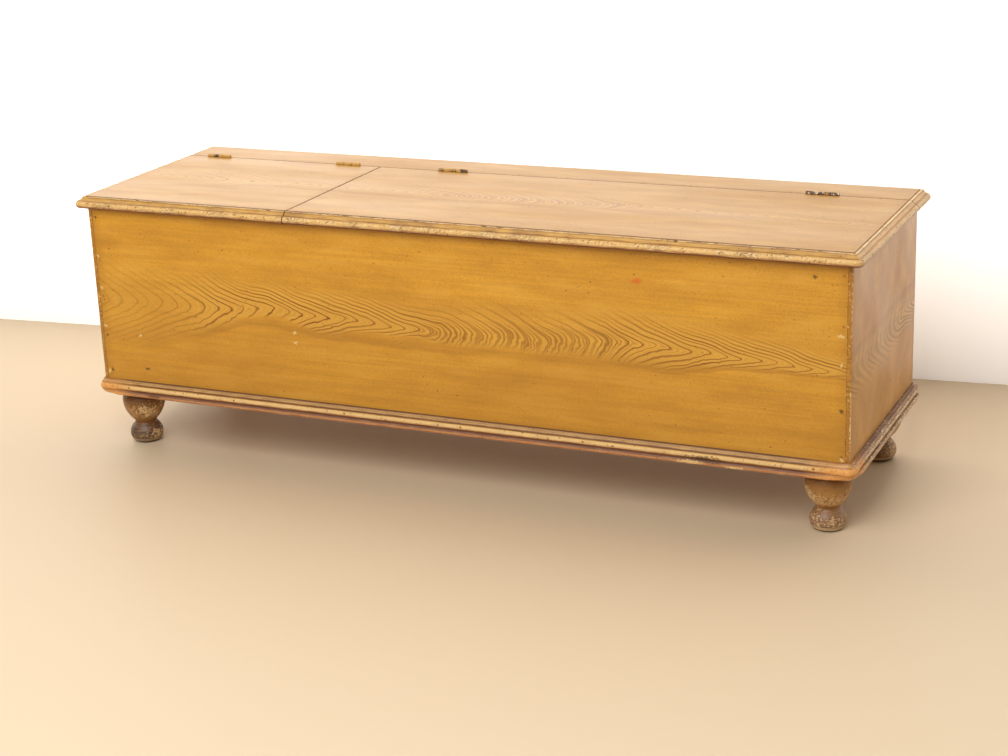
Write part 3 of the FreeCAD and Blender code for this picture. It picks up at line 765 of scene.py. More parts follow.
@dataclass(frozen=True)
class BarePine:
    """Sawn and planed pine, never painted, and dulled by age.

    To the eye it is a matt tan with darker growth lines along the board and brown stains.
    """

    name: str
    along: Axis
    pale: str = "#C79D68"
    dark: str = "#A2743F"
    stain: str = "#6B4829"
    ring_length: float = 520.0
    ring_width: float = 7.0
    ring_fade: Span = (0.38, 0.66)
    fibres_per_ring: float = 6.0
    fibre_fade: Span = (0.5, 0.75)
    fibre_share: float = 0.35
    stain_size: float = 150.0
    stain_fade: Span = (0.5, 0.75)
    stain_share: float = 0.3
    roughness: float = 0.72

    def material(self) -> bpy.types.Material:
        """Build the wood.

        Returns:
            The material.
        """
        graph = Graph(bpy.data.materials.new(self.name))
        place = graph.place()
        sizes = grain_sizes(self.along, self.ring_length, self.ring_width)
        rings = graph.streaked(place, sizes, Detail=4.0, Distortion=0.6)
        fibre = graph.streaked(place, [size / self.fibres_per_ring for size in sizes], Detail=2.0)
        stains = graph.mottle(place, self.stain_size, detail=3.0)
        colour = graph.washes(self.pale, (rings, self.ring_fade, 1.0, self.dark),
                              (fibre, self.fibre_fade, self.fibre_share, self.dark),
                              (stains, self.stain_fade, self.stain_share, self.stain))
        bump = graph.add("Bump", Strength=0.4, Distance=0.3 * MM, Height=fibre)
        return graph.finish(Base_Color=colour, Roughness=self.roughness, IOR=1.5, Normal=bump)


@dataclass(frozen=True)
class AgedIron:
    """Pressed or drawn iron, browned with rust and daubed with the chest's paint.

    To the eye it is a dark warm grey with rust, small hard glints where it is rubbed bright, and patches of
    honey yellow.
    """

    name: str
    metal: str = "#6A625B"
    rust: str = "#4A2C1B"
    paint: str = "#C08A3A"
    rust_size: float = 6.0
    rust_fade: Span = (0.40, 0.58)
    daub_spread: float = 3.0
    paint_fade: Span = (0.62, 0.68)
    roughness: float = 0.38
    cover_roughness: float = 0.3

    def material(self) -> bpy.types.Material:
        """Build the metal.

        Returns:
            The material.
        """
        graph = Graph(bpy.data.materials.new(self.name))
        place = graph.place()
        patches = graph.mottle(place, self.rust_size, detail=4.0)
        daubs = graph.mottle(place, self.rust_size * self.daub_spread, detail=2.0)
        rusted = graph.fade(patches, *self.rust_fade, 0.0, 1.0)
        painted = graph.fade(daubs, *self.paint_fade, 0.0, 1.0)
        colour = graph.over(graph.over(self.metal, rusted, self.rust), painted, self.paint)
        covered = graph.maths("MAXIMUM", rusted, painted)
        metallic = graph.fade(covered, 0.0, 1.0, 1.0, 0.0)
        rough = graph.fade(covered, 0.0, 1.0, self.roughness, self.roughness + self.cover_roughness)
        bump = graph.add("Bump", Strength=0.5, Distance=0.2 * MM, Height=patches)
        return graph.finish(Base_Color=colour, Metallic=metallic, Roughness=rough, Normal=bump)


# Meshes

def lumps(points: Array, size: float, seed: float = 0.0) -> Array:
    """Return noise from -1 to 1 at each point, with lumps of a size in millimetres."""
    shift = Vector((seed, -seed, 2 * seed))
    return np.array([noise.noise(Vector(point) * per(size) + shift) for point in points])


def nicked(points: Array, size: float, gain: float = 1.0, spared: float = 0.0, seed: float = 0.0) -> Array:
    """Return how deep each point is nicked, from 0 to 1.

    Args:
        points: the points.
        size: the size of the nicks, in millimetres.
        gain: how many times the noise is strengthened.
        spared: how much is then taken off, which leaves more of the surface whole.
        seed: another pattern for each number.

    Returns:
        One depth for each point.
    """
    return np.clip(lumps(points, size, seed) * gain - spared, 0, 1)


def side_places(low: float, high: float, radius: float, step: float) -> Array:
    """Return places along one side of a board, closer together in its rounded edges.

    Args:
        low: where the side starts.
        high: where it ends.
        radius: how far its edges are rounded.
        step: about how far apart the places are between them.

    Returns:
        The places, in order.
    """
    turns = radius * np.tan(np.radians((15.0, 30.0, 45.0)))
    count = max(2, round((high - low) / step) + 1)
    inner = np.linspace(low + radius, high - radius, count)
    return np.concatenate([low + radius - turns[::-1], inner, high - radius + turns])


def box_shell(xs: Array, ys: Array, zs: Array) -> Shell:
    """Return a closed box whose sides are divided at the given places.

    Args:
        xs: the places along X, in order, with both ends.
        ys: those along Y.
        zs: those along Z.

    Returns:
        Its points and faces.
    """
    shape = (len(xs), len(ys), len(zs))
    outside = np.zeros(shape, bool)
    for axis in range(3):
        outside.swapaxes(0, axis)[[0, -1]] = True
    index = np.full(shape, -1)
    index[outside] = np.arange(outside.sum())
    points = np.stack(np.meshgrid(xs, ys, zs, indexing="ij"), -1)[outside]
    faces = []
    for axis in range(3):
        for end in (0, -1):
            sheet = np.take(index, end, axis=axis)
            corners = [sheet[:-1, :-1], sheet[1:, :-1], sheet[1:, 1:], sheet[:-1, 1:]]
            quads = np.stack(corners, -1).reshape(-1, 4)
            outward = (end == -1) == (axis != 1)
            faces += (quads if outward else quads[:, ::-1]).tolist()
    return points, faces


def worn_board(low: Vector, high: Vector, radius: float = 0.8, steps: tuple = (6.0, 6.0, 12.0),
               wear: float = 0.5) -> Shell:
    """Return a board with eased edges that are nicked here and there.

    Args:
        low: its lowest corner.
        high: its highest corner.
        radius: how far its edges are eased, in millimetres.
        steps: how far apart its points are along X, Y and Z, in millimetres.
        wear: how deep the nicks go, in millimetres.

    Returns:
        Its points and faces.
    """
    low, high, ease = np.array(low), np.array(high), radius * MM
    points, faces = box_shell(*[side_places(low[i], high[i], ease, steps[i] * MM) for i in range(3)])
    core = np.clip(points, low + ease, high - ease)
    away = points - core
    away /= np.linalg.norm(away, axis=1)[:, None]
    edge = (np.abs(away) > ON_EDGE).sum(1) > 1
    nicks = np.zeros(len(points))
    nicks[edge] = wear * MM * nicked(points[edge], size=16.0, gain=1.6, spared=0.35)
    return core + away * (ease - nicks)[:, None], faces


def plain_box(low: Vector, high: Vector) -> Shell:
    """Return a box with one face on each side."""
    return box_shell(*[np.array([low[i], high[i]]) for i in range(3)])


def round_bar(start: Vector, along: Vector, stations: Array, radii: Array, sides: int) -> Shell:
    """Return a closed turned bar.

    Args:
        start: the point that the stations are measured from.
        along: the bar's direction.
        stations: places along the bar, in order.
        radii: the radius at each station.
        sides: how many sides the bar has.

    Returns:
        Its points and faces.
    """
    across = along.orthogonal().normalized()
    beside = along.cross(across)
    angles = np.linspace(0, 2 * math.pi, sides, endpoint=False)
    ring = np.cos(angles)[:, None] * np.array(across) + np.sin(angles)[:, None] * np.array(beside)
    stretched = stations[:, None, None] * np.array(along) + radii[:, None, None] * ring[None]
    return (np.array(start) + stretched).reshape(-1, 3), ring_faces(len(stations), sides)


def eased_bar(length: float, radius: float, ease: float, rings: int = 5) -> tuple[Array, Array]:
    """Return the outline of a bar whose ends are rounded over.

    Args:
        length: the bar's length.
        radius: its radius.
        ease: how far its ends are rounded.
        rings: how many stations there are between them.

    Returns:
        The stations and the radii.
    """
    turn = np.radians((90.0, 60.0, 30.0, 0.0))
    inset = ease * (1 - np.sin(turn))
    eased = radius - ease * (1 - np.cos(turn))
    middle = np.linspace(2 * ease, length - 2 * ease, rings)
    stations = np.concatenate([inset, middle, length - inset[::-1]])
    return stations, np.concatenate([eased, np.full(rings, radius), eased[::-1]])


def ring_faces(rings: int, sides: int) -> list:
    """Return the faces between closed rings of points, with a flat cap at both ends.

    Args:
        rings: how many rings there are.
        sides: how many points each has.

    Returns:
        The faces, for points that are in order from ring to ring.
    """
    index = np.arange(rings * sides).reshape(rings, sides)
    ahead = np.roll(index, -1, axis=1)
    quads = np.stack([index[:-1], ahead[:-1], ahead[1:], index[1:]], -1).reshape(-1, 4).tolist()
    return quads + [index[0, ::-1].tolist(), index[-1].tolist()]


def joined(shells: list[Shell]) -> Shell:
    """Return several shells as one.

    Args:
        shells: the shells.

    Returns:
        Their points and faces together.
    """
    points, faces = [], []
    for shell_points, shell_faces in shells:
        first = sum(len(p) for p in points)
        points.append(shell_points)
        faces += [[first + corner for corner in face] for face in shell_faces]
    return np.concatenate(points), faces


def arc(start: tuple, through: tuple, end: tuple, count: int) -> list[tuple]:
    """Return points on the arc through three points.

    Args:
        start: its first point.
        through: a point on it.
        end: its last point.
        count: how many points to return.

    Returns:
        The points, without the last one.
    """
    a, b, c = (complex(*point) for point in (start, through, end))
    w = (c - a) / (b - a)
    centre = (b - a) * (w - abs(w) ** 2) / (2j * w.imag) + a
    first, last = np.angle(a - centre), np.angle(c - centre)
    middle = np.angle(b - centre)
    sweep = (last - first) % (2 * math.pi)
    if (middle - first) % (2 * math.pi) > sweep:
        sweep -= 2 * math.pi
    turned = [centre + abs(a - centre) * np.exp(1j * (first + sweep * i / count)) for i in range(count)]
    return [(point.real, point.imag) for point in turned]


def new_object(name: str, shell: Shell) -> bpy.types.Object:
    """Put a new object in the scene.

    Args:
        name: its name.
        shell: its points and faces.

    Returns:
        The object.
    """
    mesh = bpy.data.meshes.new(name)
    mesh.from_pydata(shell[0].tolist(), [], shell[1])
    thing = bpy.data.objects.new(name, mesh)
    bpy.context.scene.collection.objects.link(thing)
    return thing


def carve(thing: bpy.types.Object, cutters: list[Shell]) -> None:
    """Cut shells out of an object's mesh, one after another.

    Args:
        thing: the object.
        cutters: the shells.
    """
    for shell in cutters:
        tool = new_object("cutter", shell)
        cut = thing.modifiers.new("cut", "BOOLEAN")
        cut.operation = "DIFFERENCE"
        cut.solver = "EXACT"
        cut.object = tool
        bpy.context.view_layer.update()
        whole = thing.evaluated_get(bpy.context.evaluated_depsgraph_get())
        old, thing.data = thing.data, bpy.data.meshes.new_from_object(whole)
        thing.modifiers.clear()
        bpy.data.meshes.remove(old)
        bpy.data.objects.remove(tool)


def dress(thing: bpy.types.Object, nodes: tuple[str, ...], coats: list[bpy.types.Material],
          inner: tuple[Vector, ...] = (), crease: float = 32.0) -> None:
    """Put a new piece in place of CAD nodes, and paint it.

    Args:
        thing: the piece.
        nodes: the nodes that it stands for, all on one body.
        coats: its materials: the outer one and, where some faces are bare, the inner one.
        inner: the directions that the bare faces point in.
        crease: the angle in degrees above which an edge stays sharp.
    """
    mesh = thing.data
    mesh.materials.clear()
    for material in coats:
        mesh.materials.append(material)
    for polygon in mesh.polygons:
        polygon.material_index = int(any(polygon.normal.dot(way) > FACING for way in inner))
    mesh.shade_smooth()
    mesh.set_sharp_from_angle(angle=math.radians(crease))
    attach(thing, BODY_OF[nodes[0]])
    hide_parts(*nodes)
    log.info("%s stands for %s", thing.name, ", ".join(nodes))


def node_points(node: str) -> Array:
    """Return the points of a CAD node.

    Args:
        node: its name.

    Returns:
        One row for each point.
    """
    points = np.empty(len(frame["nodes"][node].data.vertices) * 3, np.float32)
    frame["nodes"][node].data.vertices.foreach_get("co", points)
    return points.reshape(-1, 3).astype(float)


def solids(node: str) -> list[Array]:
    """Return the points of each separate solid in a CAD node.

    Args:
        node: its name.

    Returns:
        One array for each solid.
    """
    mesh = frame["nodes"][node].data
    points = node_points(node)
    places, merged = np.unique(points.round(6), axis=0, return_inverse=True)
    ends = np.empty(len(mesh.edges) * 2, np.int32)
    mesh.edges.foreach_get("vertices", ends)
    starts, stops = merged.reshape(-1)[ends.reshape(-1, 2)].T
    label = np.arange(len(places))
    while (label[starts] != label[stops]).any():
        lowest = np.minimum(label[starts], label[stops])
        np.minimum.at(label, starts, lowest)
        np.minimum.at(label, stops, lowest)
    return [points[label[merged.reshape(-1)] == mark] for mark in np.unique(label)]


def nail_holes(nails: str, board: str, radius: float = 2.9) -> list[Shell]:
    """Return the ragged holes that a board's nail heads are sunk in.

    Args:
        nails: the CAD node of the nails.
        board: the CAD node that they are driven into.
        radius: how wide the holes are, in millimetres.

    Returns:
        One cutter for all the holes, in a list, or an empty list.
    """
    stations = np.array([0.0, 0.6, 8.0]) * MM
    flare = np.array([0.85, 1.0, 1.25]) * radius * MM
    sides = 14
    sunk = 0.05 * MM
    raggedness, rag_size = 0.35, 3.0
    reach, end_slab = 2 * MM, 0.1 * MM
    box_low, box_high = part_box(board)
    holes = []
    for points in solids(nails):
        low, high = points.min(0), points.max(0)
        axis = int(np.argmax(high - low))
        other = (axis + 1) % 3
        ends = [points[np.abs(points[:, axis] - end) < end_slab, other] for end in (low[axis], high[axis])]
        way = 1.0 if np.ptp(ends[1]) > np.ptp(ends[0]) else -1.0
        head = (low + high) / 2
        head[axis] = high[axis] if way > 0 else low[axis]
        if not all(box_low[i] - reach < head[i] < box_high[i] + reach for i in range(3)):
            continue
        out = Vector([way * (i == axis) for i in range(3)])
        shell, faces = round_bar(Vector(head) - out * sunk, out, stations, flare, sides)
        side = shell - head
        side[:, axis] = 0
        holes.append((shell + side * (raggedness * lumps(shell, rag_size))[:, None], faces))
    return [joined(holes)] if holes else []


def coat(nodes: tuple[str, ...], material: bpy.types.Material) -> None:
    """Give CAD nodes a material in place of their own.

    Args:
        nodes: their names.
        material: the material.
    """
    for node in nodes:
        frame["nodes"][node].data.materials.clear()
        frame["nodes"][node].data.materials.append(material)
        log.info("%s keeps its solid", node)


# Sub-assemblies

@dataclass
class Carcass:
    """The four walls, the bottom and the partition."""

    ease: float = 0.8
    housing_room: float = 0.15
    overrun: float = 6.0
    # How far up the front its painted shade reaches, darkening it towards the foot
    painted_shade_height: float = 260.0
    nail_hole: float = 2.6
    figure_start: float = 8.0
    end_figure_start: float = 620.0
    end_figure_drop: float = 10.0
    front_marks: tuple[Mark, ...] = face_marks(-226, 9, {
        "#D4621E": ((378, 436, 11, 6.5),),
        "#5A3A1C": ((-658, 171, 8, 3),),
        "#4E3018": ((697, 469, 5, 4), (745, 237, 4, 4), (-743, 162, 4, 4)),
        CHIPPED_PAINT: ((743, 369, 6, 4), (745, 318, 3, 4), (747, 149, 4, 5), (-750, 158, 5, 6),
                        (-750, 396, 4, 4), (-748, 331, 4, 4), (-748, 253, 6, 3), (-315, 278, 6, 3),
                        (-315, 258, 5, 3), (-668, 240, 4, 3))})
    # Pale lines down the front corners: chips worn through, and a painted highlight along the arris
    corner_wear_and_highlight: tuple[Mark, ...] = (Mark((763, -226, 210), (3, 3, 80), "#F0D49C"),
                                     Mark((763, -226, 400), (2.5, 3, 90), "#EAC688"),
                                     Mark((-763, -226, 430), (3, 3, 60), "#EAC688"))
    pine_long: bpy.types.Material = field(init=False)
    pine_deep: bpy.types.Material = field(init=False)

    def __post_init__(self) -> None:
        """Make the bare wood of the inside."""
        self.pine_long = BarePine("bare_pine_lengthwise", Axis.X).material()
        self.pine_deep = BarePine("bare_pine_crosswise", Axis.Y).material()

    def build_long_walls(self) -> None:
        """Build the front and the back, with grooves for the partition."""
        front_low, front_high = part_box("front_board")
        figure = CombedFigure(Axis.X, Axis.Z, front_low.x - self.figure_start * MM,
                              (front_low.z + front_high.z) / 2)
        paint = GrainedPaint("grained_paint_front", "front_board", Axis.X, Axis.Z, (figure,),
                             self.front_marks, painted_shade_height=self.painted_shade_height, edge_dirt=0.75).material()
        room = Vector((self.housing_room, 0, self.overrun)) * MM
        partition_low, partition_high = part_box("partition")
        groove = plain_box(partition_low - room, partition_high + room)
        front = new_object("worn_front", worn_board(front_low, front_high, self.ease))
        carve(front, [groove] + nail_holes("front_nails", "front_board", self.nail_hole))
        dress(front, ("front_board",), [paint, self.pine_long], (BACK, UP, DOWN))
        back = new_object("worn_back", worn_board(*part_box("back_board"), self.ease))
        carve(back, [groove] + nail_holes("back_nails", "back_board"))
        dress(back, ("back_board",), [self.pine_long])

    def build_ends(self) -> None:
        """Build the two ends, rabbeted for the front and the back."""
        for side, inward in (("left", RIGHT), ("right", LEFT)):
            node = side + "_end_board"
            low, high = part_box(node)
            figure = CombedFigure(Axis.Y, Axis.Z, high.y + self.end_figure_start * MM,
                                  (low.z + high.z) / 2 - self.end_figure_drop * MM, turned=True, pitch=26.0,
                                  tip_stroke=7.0, arm_stroke=3.6)
            # The ends take the front's paint with a darker ground and streak: a shaded copy, toned to the
            # light there
            paint = GrainedPaint("grained_paint_%s_end" % side, node, Axis.Z, Axis.Y, (figure,),
                                 self.corner_wear_and_highlight, figure_share=0.85, ground="#C88E33", streak="#B67C30",
                                 glaze="#7A4E26", streak_length=60.0, streak_width=1.8, streak_strength=0.12,
                                 cloud_length=160.0, cloud_width=120.0, cloud_strength=0.4,
                                 blotch_length=60.0, blotch_width=45.0, edge_dirt=-0.15).material()
            end = new_object("worn_%s_end" % side, worn_board(low, high, self.ease))
            rabbets = []
            for wall, out in (("front_board", FRONT), ("back_board", BACK)):
                wall_low, wall_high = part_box(wall)
                past = out * self.overrun * MM
                reach = Vector((0, 0, self.overrun * MM))
                spans = [wall_low - reach, wall_high + reach]
                spans[0 if out.y < 0 else 1] += past
                rabbets.append(plain_box(*spans))
            carve(end, rabbets)
            dress(end, (node,), [paint, self.pine_deep], (inward, UP, DOWN, BACK))

    def build_inside(self) -> None:
        """Build the partition, and coat the bottom boards."""
        partition = new_object("worn_partition", worn_board(*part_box("partition"), self.ease))
        dress(partition, ("partition",), [self.pine_deep])
        coat(("bottom_board_1", "bottom_board_2", "bottom_board_3"), self.pine_long)

    def build(self) -> None:
        """Build every wall and board."""
        self.build_long_walls()
        self.build_ends()
        self.build_inside()


@dataclass
class Moulding:
    """A shaped edge: its section, how far each part of it is worn, and the way it is run round the chest."""

    section: Array
    worn: Array
    corner_radius: float
    step: float = 2.5
    nick_size: float = 9.0
    nick_depth: float = 0.9
    fine_share: float = 0.3
    nose_reach: float = 0.0
    nose_share: float = 0.85
    nose_level: float = 0.45
    nose_room: float = 0.025
    nose_point: float = 1.5

    def nose(self, ups: Array, near: Array) -> tuple[Array, Array]:
        """Return how far out a corner that has worn to a nose stands, as so much of the moulding's reach.

        Args:
            ups: the height of each point.
            near: how near each point is to the corner, from 0 to 1.

        Returns:
            The share of the reach, and the share of the nose in each point.
        """
        level = ups / self.section[:, 1].max() - self.nose_level
        spread = np.where(level > 0, 1 - self.nose_level, self.nose_level) + self.nose_room
        return 1 - np.abs(level / spread) ** self.nose_point, near * near * (3 - 2 * near) * self.nose_share

    def outward(self) -> Array:
        """Return the direction out of the section at each of its points.

        Returns:
            One direction for each point, of length 1.
        """
        ahead = np.roll(self.section, -1, axis=0) - np.roll(self.section, 1, axis=0)
        out = np.stack([-ahead[:, 1], ahead[:, 0]], -1)
        return out / np.linalg.norm(out, axis=1)[:, None]

    def turned_corner(self, travel: Array, outs: Array, ups: Array, edge: float,
                      way: float) -> tuple[Array, Array]:
        """Carry one end of a run on to its mitre, and round and wear the corner.

        Args:
            travel: how far along the wall each point is.
            outs: how far it stands out.
            ups: how high it is.
            edge: where the wall ends.
            way: 1 where the end is the run's last, and -1 where it is its first.

        Returns:
            The new travel and the new distance out.
        """
        reach = self.section[:, 0].max()
        if self.nose_reach:
            near = np.clip(1 - np.abs(travel - edge) / (self.nose_reach * MM), 0, 1)
            stand, share = self.nose(ups, near)
            outs = np.where(outs > 0, outs + share * (reach - outs), outs)
        fade = np.clip(1 - np.abs(travel - edge) / (2 * reach), 0, 1)
        travel = travel + way * outs * fade
        radius = self.corner_radius * MM * outs / reach
        centre = outs - radius
        ahead = way * (travel - edge) - centre
        cut = (outs > 0) & (ahead > 0)
        shrink = radius / np.maximum(np.hypot(radius, ahead), 1e-9)
        outs = np.where(cut, centre + radius * shrink, outs)
        travel = np.where(cut, edge + way * (centre + ahead * shrink), travel)
        if self.nose_reach:
            worn_share = 1 - share * (1 - stand)
            past = way * (travel - edge)
            outs = outs * worn_share
            travel = np.where(past > 0, edge + way * past * worn_share, travel)
        return travel, outs

    def run(self, start: Vector, along: Vector, out: Vector, length: float,
            mitres: tuple[bool, bool]) -> Shell:
        """Run the moulding along a wall.

        Args:
            start: where the wall's edge starts, at the moulding's underside.
            along: the direction that it runs in.
            out: the direction that it faces.
            length: the wall's length.
            mitres: whether its first and its last end are mitred round a corner.

        Returns:
            Its points and faces.
        """
        count = max(2, round(length / (self.step * MM)))
        places = np.linspace(0, length, count + 1)
        outs = np.repeat(self.section[None, :, 0], count + 1, axis=0)
        ups = np.repeat(self.section[None, :, 1], count + 1, axis=0)
        travel = np.repeat(places[:, None], len(self.section), axis=1)
        for mitred, edge, way in zip(mitres, (0.0, length), (-1.0, 1.0)):
            if mitred:
                travel, outs = self.turned_corner(travel, outs, ups, edge, way)
        points = (np.array(start) + travel[..., None] * np.array(along) + outs[..., None] * np.array(out)
                  + ups[..., None] * np.array(UP))
        flat = points.reshape(-1, 3)
        nicks = nicked(flat, self.nick_size, gain=1.5, spared=0.25)
        nicks += self.fine_share * nicked(flat, self.nick_size / 3, seed=5.0)
        depth = nicks.reshape(outs.shape) * self.worn[None] * self.nick_depth * MM
        normal = self.outward()
        points -= (depth * normal[None, :, 0])[..., None] * np.array(out)
        points -= (depth * normal[None, :, 1])[..., None] * np.array(UP)
        faces = ring_faces(count + 1, len(self.section))
        if along.cross(out).dot(UP) < 0:
            faces = [face[::-1] for face in faces]
        return points.reshape(-1, 3), faces


def lid_moulding(reach: float, height: float) -> Moulding:
    """Return the moulding of the lids' edges: a chipped rim behind a dirty joint, a cove and a bead.

    Args:
        reach: how far it stands out from the lid.
        height: its height.

    Returns:
        The moulding.
    """
    rim, cove_top, cove_foot = (0.30, 0.995), (0.315, 0.95), (0.65, 0.70)
    hollow = (0.44, 0.792)
    outline = [(0.0, 0.0), (0.0, 0.5), (0.0, 0.93), (0.06, 0.93), (0.075, 0.99), (0.10, 1.0), (0.20, 1.0)]
    outline += [rim]
    worn = [0.0, 0.0, 0.0, 0.0, 0.5, 1.0, 1.8, 3.0]
    outline += arc(cove_top, hollow, cove_foot, 7) + [cove_foot]
    worn += [2.2, 0.8] + [0.4] * 6
    outline += arc((0.63, 0.675), (1.0, 0.35), (0.63, 0.02), 12) + [(0.63, 0.02), (0.61, 0.0), (0.3, 0.0)]
    worn += [0.4, 0.7, 1.0, 1.0, 1.0, 1.0, 1.0, 1.0, 0.8, 0.6, 0.4, 0.3, 0.2, 0.1, 0.0]
    return Moulding(np.array(outline) * (reach, height), np.array(worn), corner_radius=14.0)


def plinth_moulding(reach: float, height: float) -> Moulding:
    """Return the moulding of the plinth: a cove, a torus and a rounded fascia.

    Args:
        reach: how far it stands out from the wall.
        height: its height.

    Returns:
        The moulding.
    """
    cove_top, cove_foot = (0.10, 1.0), (0.36, 0.765)
    hollow = (0.18, 0.855)
    outline = [(0.0, 0.0), (0.0, 0.5), (0.0, 0.98), (0.02, 1.0)]
    worn = [0.0, 0.0, 0.0, 0.2]
    outline += arc(cove_top, hollow, cove_foot, 5) + [cove_foot]
    worn += [0.3] * 6
    outline += arc((0.30, 0.74), (0.82, 0.53), (0.64, 0.33), 10) + [(0.64, 0.33), (0.64, 0.295)]
    worn += [0.1, 0.4, 0.8, 0.9, 0.9, 0.9, 0.9, 0.7, 0.4, 0.2, 0.1, 0.1]
    outline += arc((0.82, 0.28), (0.955, 0.25), (1.0, 0.18), 4) + [(1.0, 0.18)]
    worn += [0.4, 0.8, 1.0, 1.0, 1.0]
    outline += [(0.985, 0.08), (0.95, 0.0), (0.5, 0.0)]
    worn += [1.0, 1.0, 0.0]
    return Moulding(np.array(outline) * (reach, height), np.array(worn), corner_radius=20.0, nose_reach=42.0)


@dataclass
class Plinth:
    """The moulding round the foot of the walls."""

    nail_hole: float = 2.6
    # Colour by height, 0 at the foot: the bright crown of the torus is a painted highlight, the dark band at
    # the top where it meets the wall a painted shadow, and the dark quirks dirt and painted shade
    bands: Stops = ((0.0, "#8A5838"), (0.06, "#B4744A"), (0.13, "#C88C58"), (0.18, "#A8744C"),
                    (0.22, "#7C5240"), (0.33, "#784C38"), (0.38, "#B98448"), (0.44, "#EABF7C"),
                    (0.53, "#F6D298"), (0.65, "#EFC682"), (0.70, "#C09048"), (0.745, "#6A4426"),
                    (0.80, "#7A5234"), (0.835, "#B98C50"), (0.875, "#CDA266"), (0.91, "#BC8E56"),
                    (0.94, "#845A42"), (0.97, "#74503E"), (1.0, "#5E3E2E"))
    # On the ends too the dark band at the top is a painted shadow, and the quirks are dirt and painted shade
    end_bands: Stops = ((0.0, "#B08860"), (0.08, "#C89C70"), (0.18, "#B88C62"), (0.24, "#8C664A"),
                        (0.33, "#84603F"), (0.40, "#B88C60"), (0.53, "#C89E70"), (0.66, "#B88A5E"),
                        (0.745, "#8E6644"), (0.83, "#9A7050"), (0.92, "#8C6248"), (1.0, "#644430"))
    exposed: Table = ((0.0, 0.45), (0.24, 0.45), (0.32, 0.05), (0.42, 0.60), (0.64, 0.60), (0.745, 0.0),
                      (0.90, 0.15), (1.0, 0.0))
    end_exposed: Table = ((0.0, 0.5), (0.24, 0.6), (0.31, 0.25), (0.42, 1.0), (0.66, 1.0), (0.745, 0.2),
                          (0.90, 0.3), (1.0, 0.0))
    marks: tuple[Mark, ...] = face_marks(-238, 12, {"#5C3E28": ((505, 124, 40, 7),),
                                                    CHIPPED_PAINT: ((478, 118, 30, 4), (560, 116, 20, 3)),
                                                    "#6B4A30": ((-640, 119, 18, 4),)})

    def build(self) -> None:
        """Build the front run and the two end runs, mitred at the front corners."""
        right_low, right_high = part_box("plinth_right")
        wall_left, wall_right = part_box("plinth_left")[1].x, right_low.x
        back, low, high = right_high.y, right_low.z, right_high.z
        reach = right_high.x - wall_right
        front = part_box("plinth_front")[0].y + reach
        corners = ((wall_left, front), (wall_right, front))
        front_paint = BandedPaint("worn_plinth_paint_and_painted_light", low, high, self.bands, self.exposed, chip_start=0.92,
                                  bare_corners=corners, marks=self.marks).material()
        end_paint = BandedPaint("flaked_plinth_paint_and_painted_shadow", low, high, self.end_bands, self.end_exposed,
                                chip_start=0.88, chip="#FBE6C2", chip_length=5.0, chip_width=1.8,
                                chip_drift=0.5, bare_corners=corners).material()
        moulding = plinth_moulding(reach, high - low)
        left_corner, right_corner = (Vector((*corner, low)) for corner in corners)
        runs = {
            "plinth_front": (left_corner, RIGHT, FRONT, wall_right - wall_left, (True, True)),
            "plinth_left": (left_corner, BACK, LEFT, back - front, (True, False)),
            "plinth_right": (right_corner, BACK, RIGHT, back - front, (True, False)),
        }
        for node, run in runs.items():
            thing = new_object("worn_" + node, moulding.run(*run))
            carve(thing, nail_holes("plinth_nails", node, self.nail_hole))
            dress(thing, (node,), [front_paint if node == "plinth_front" else end_paint])


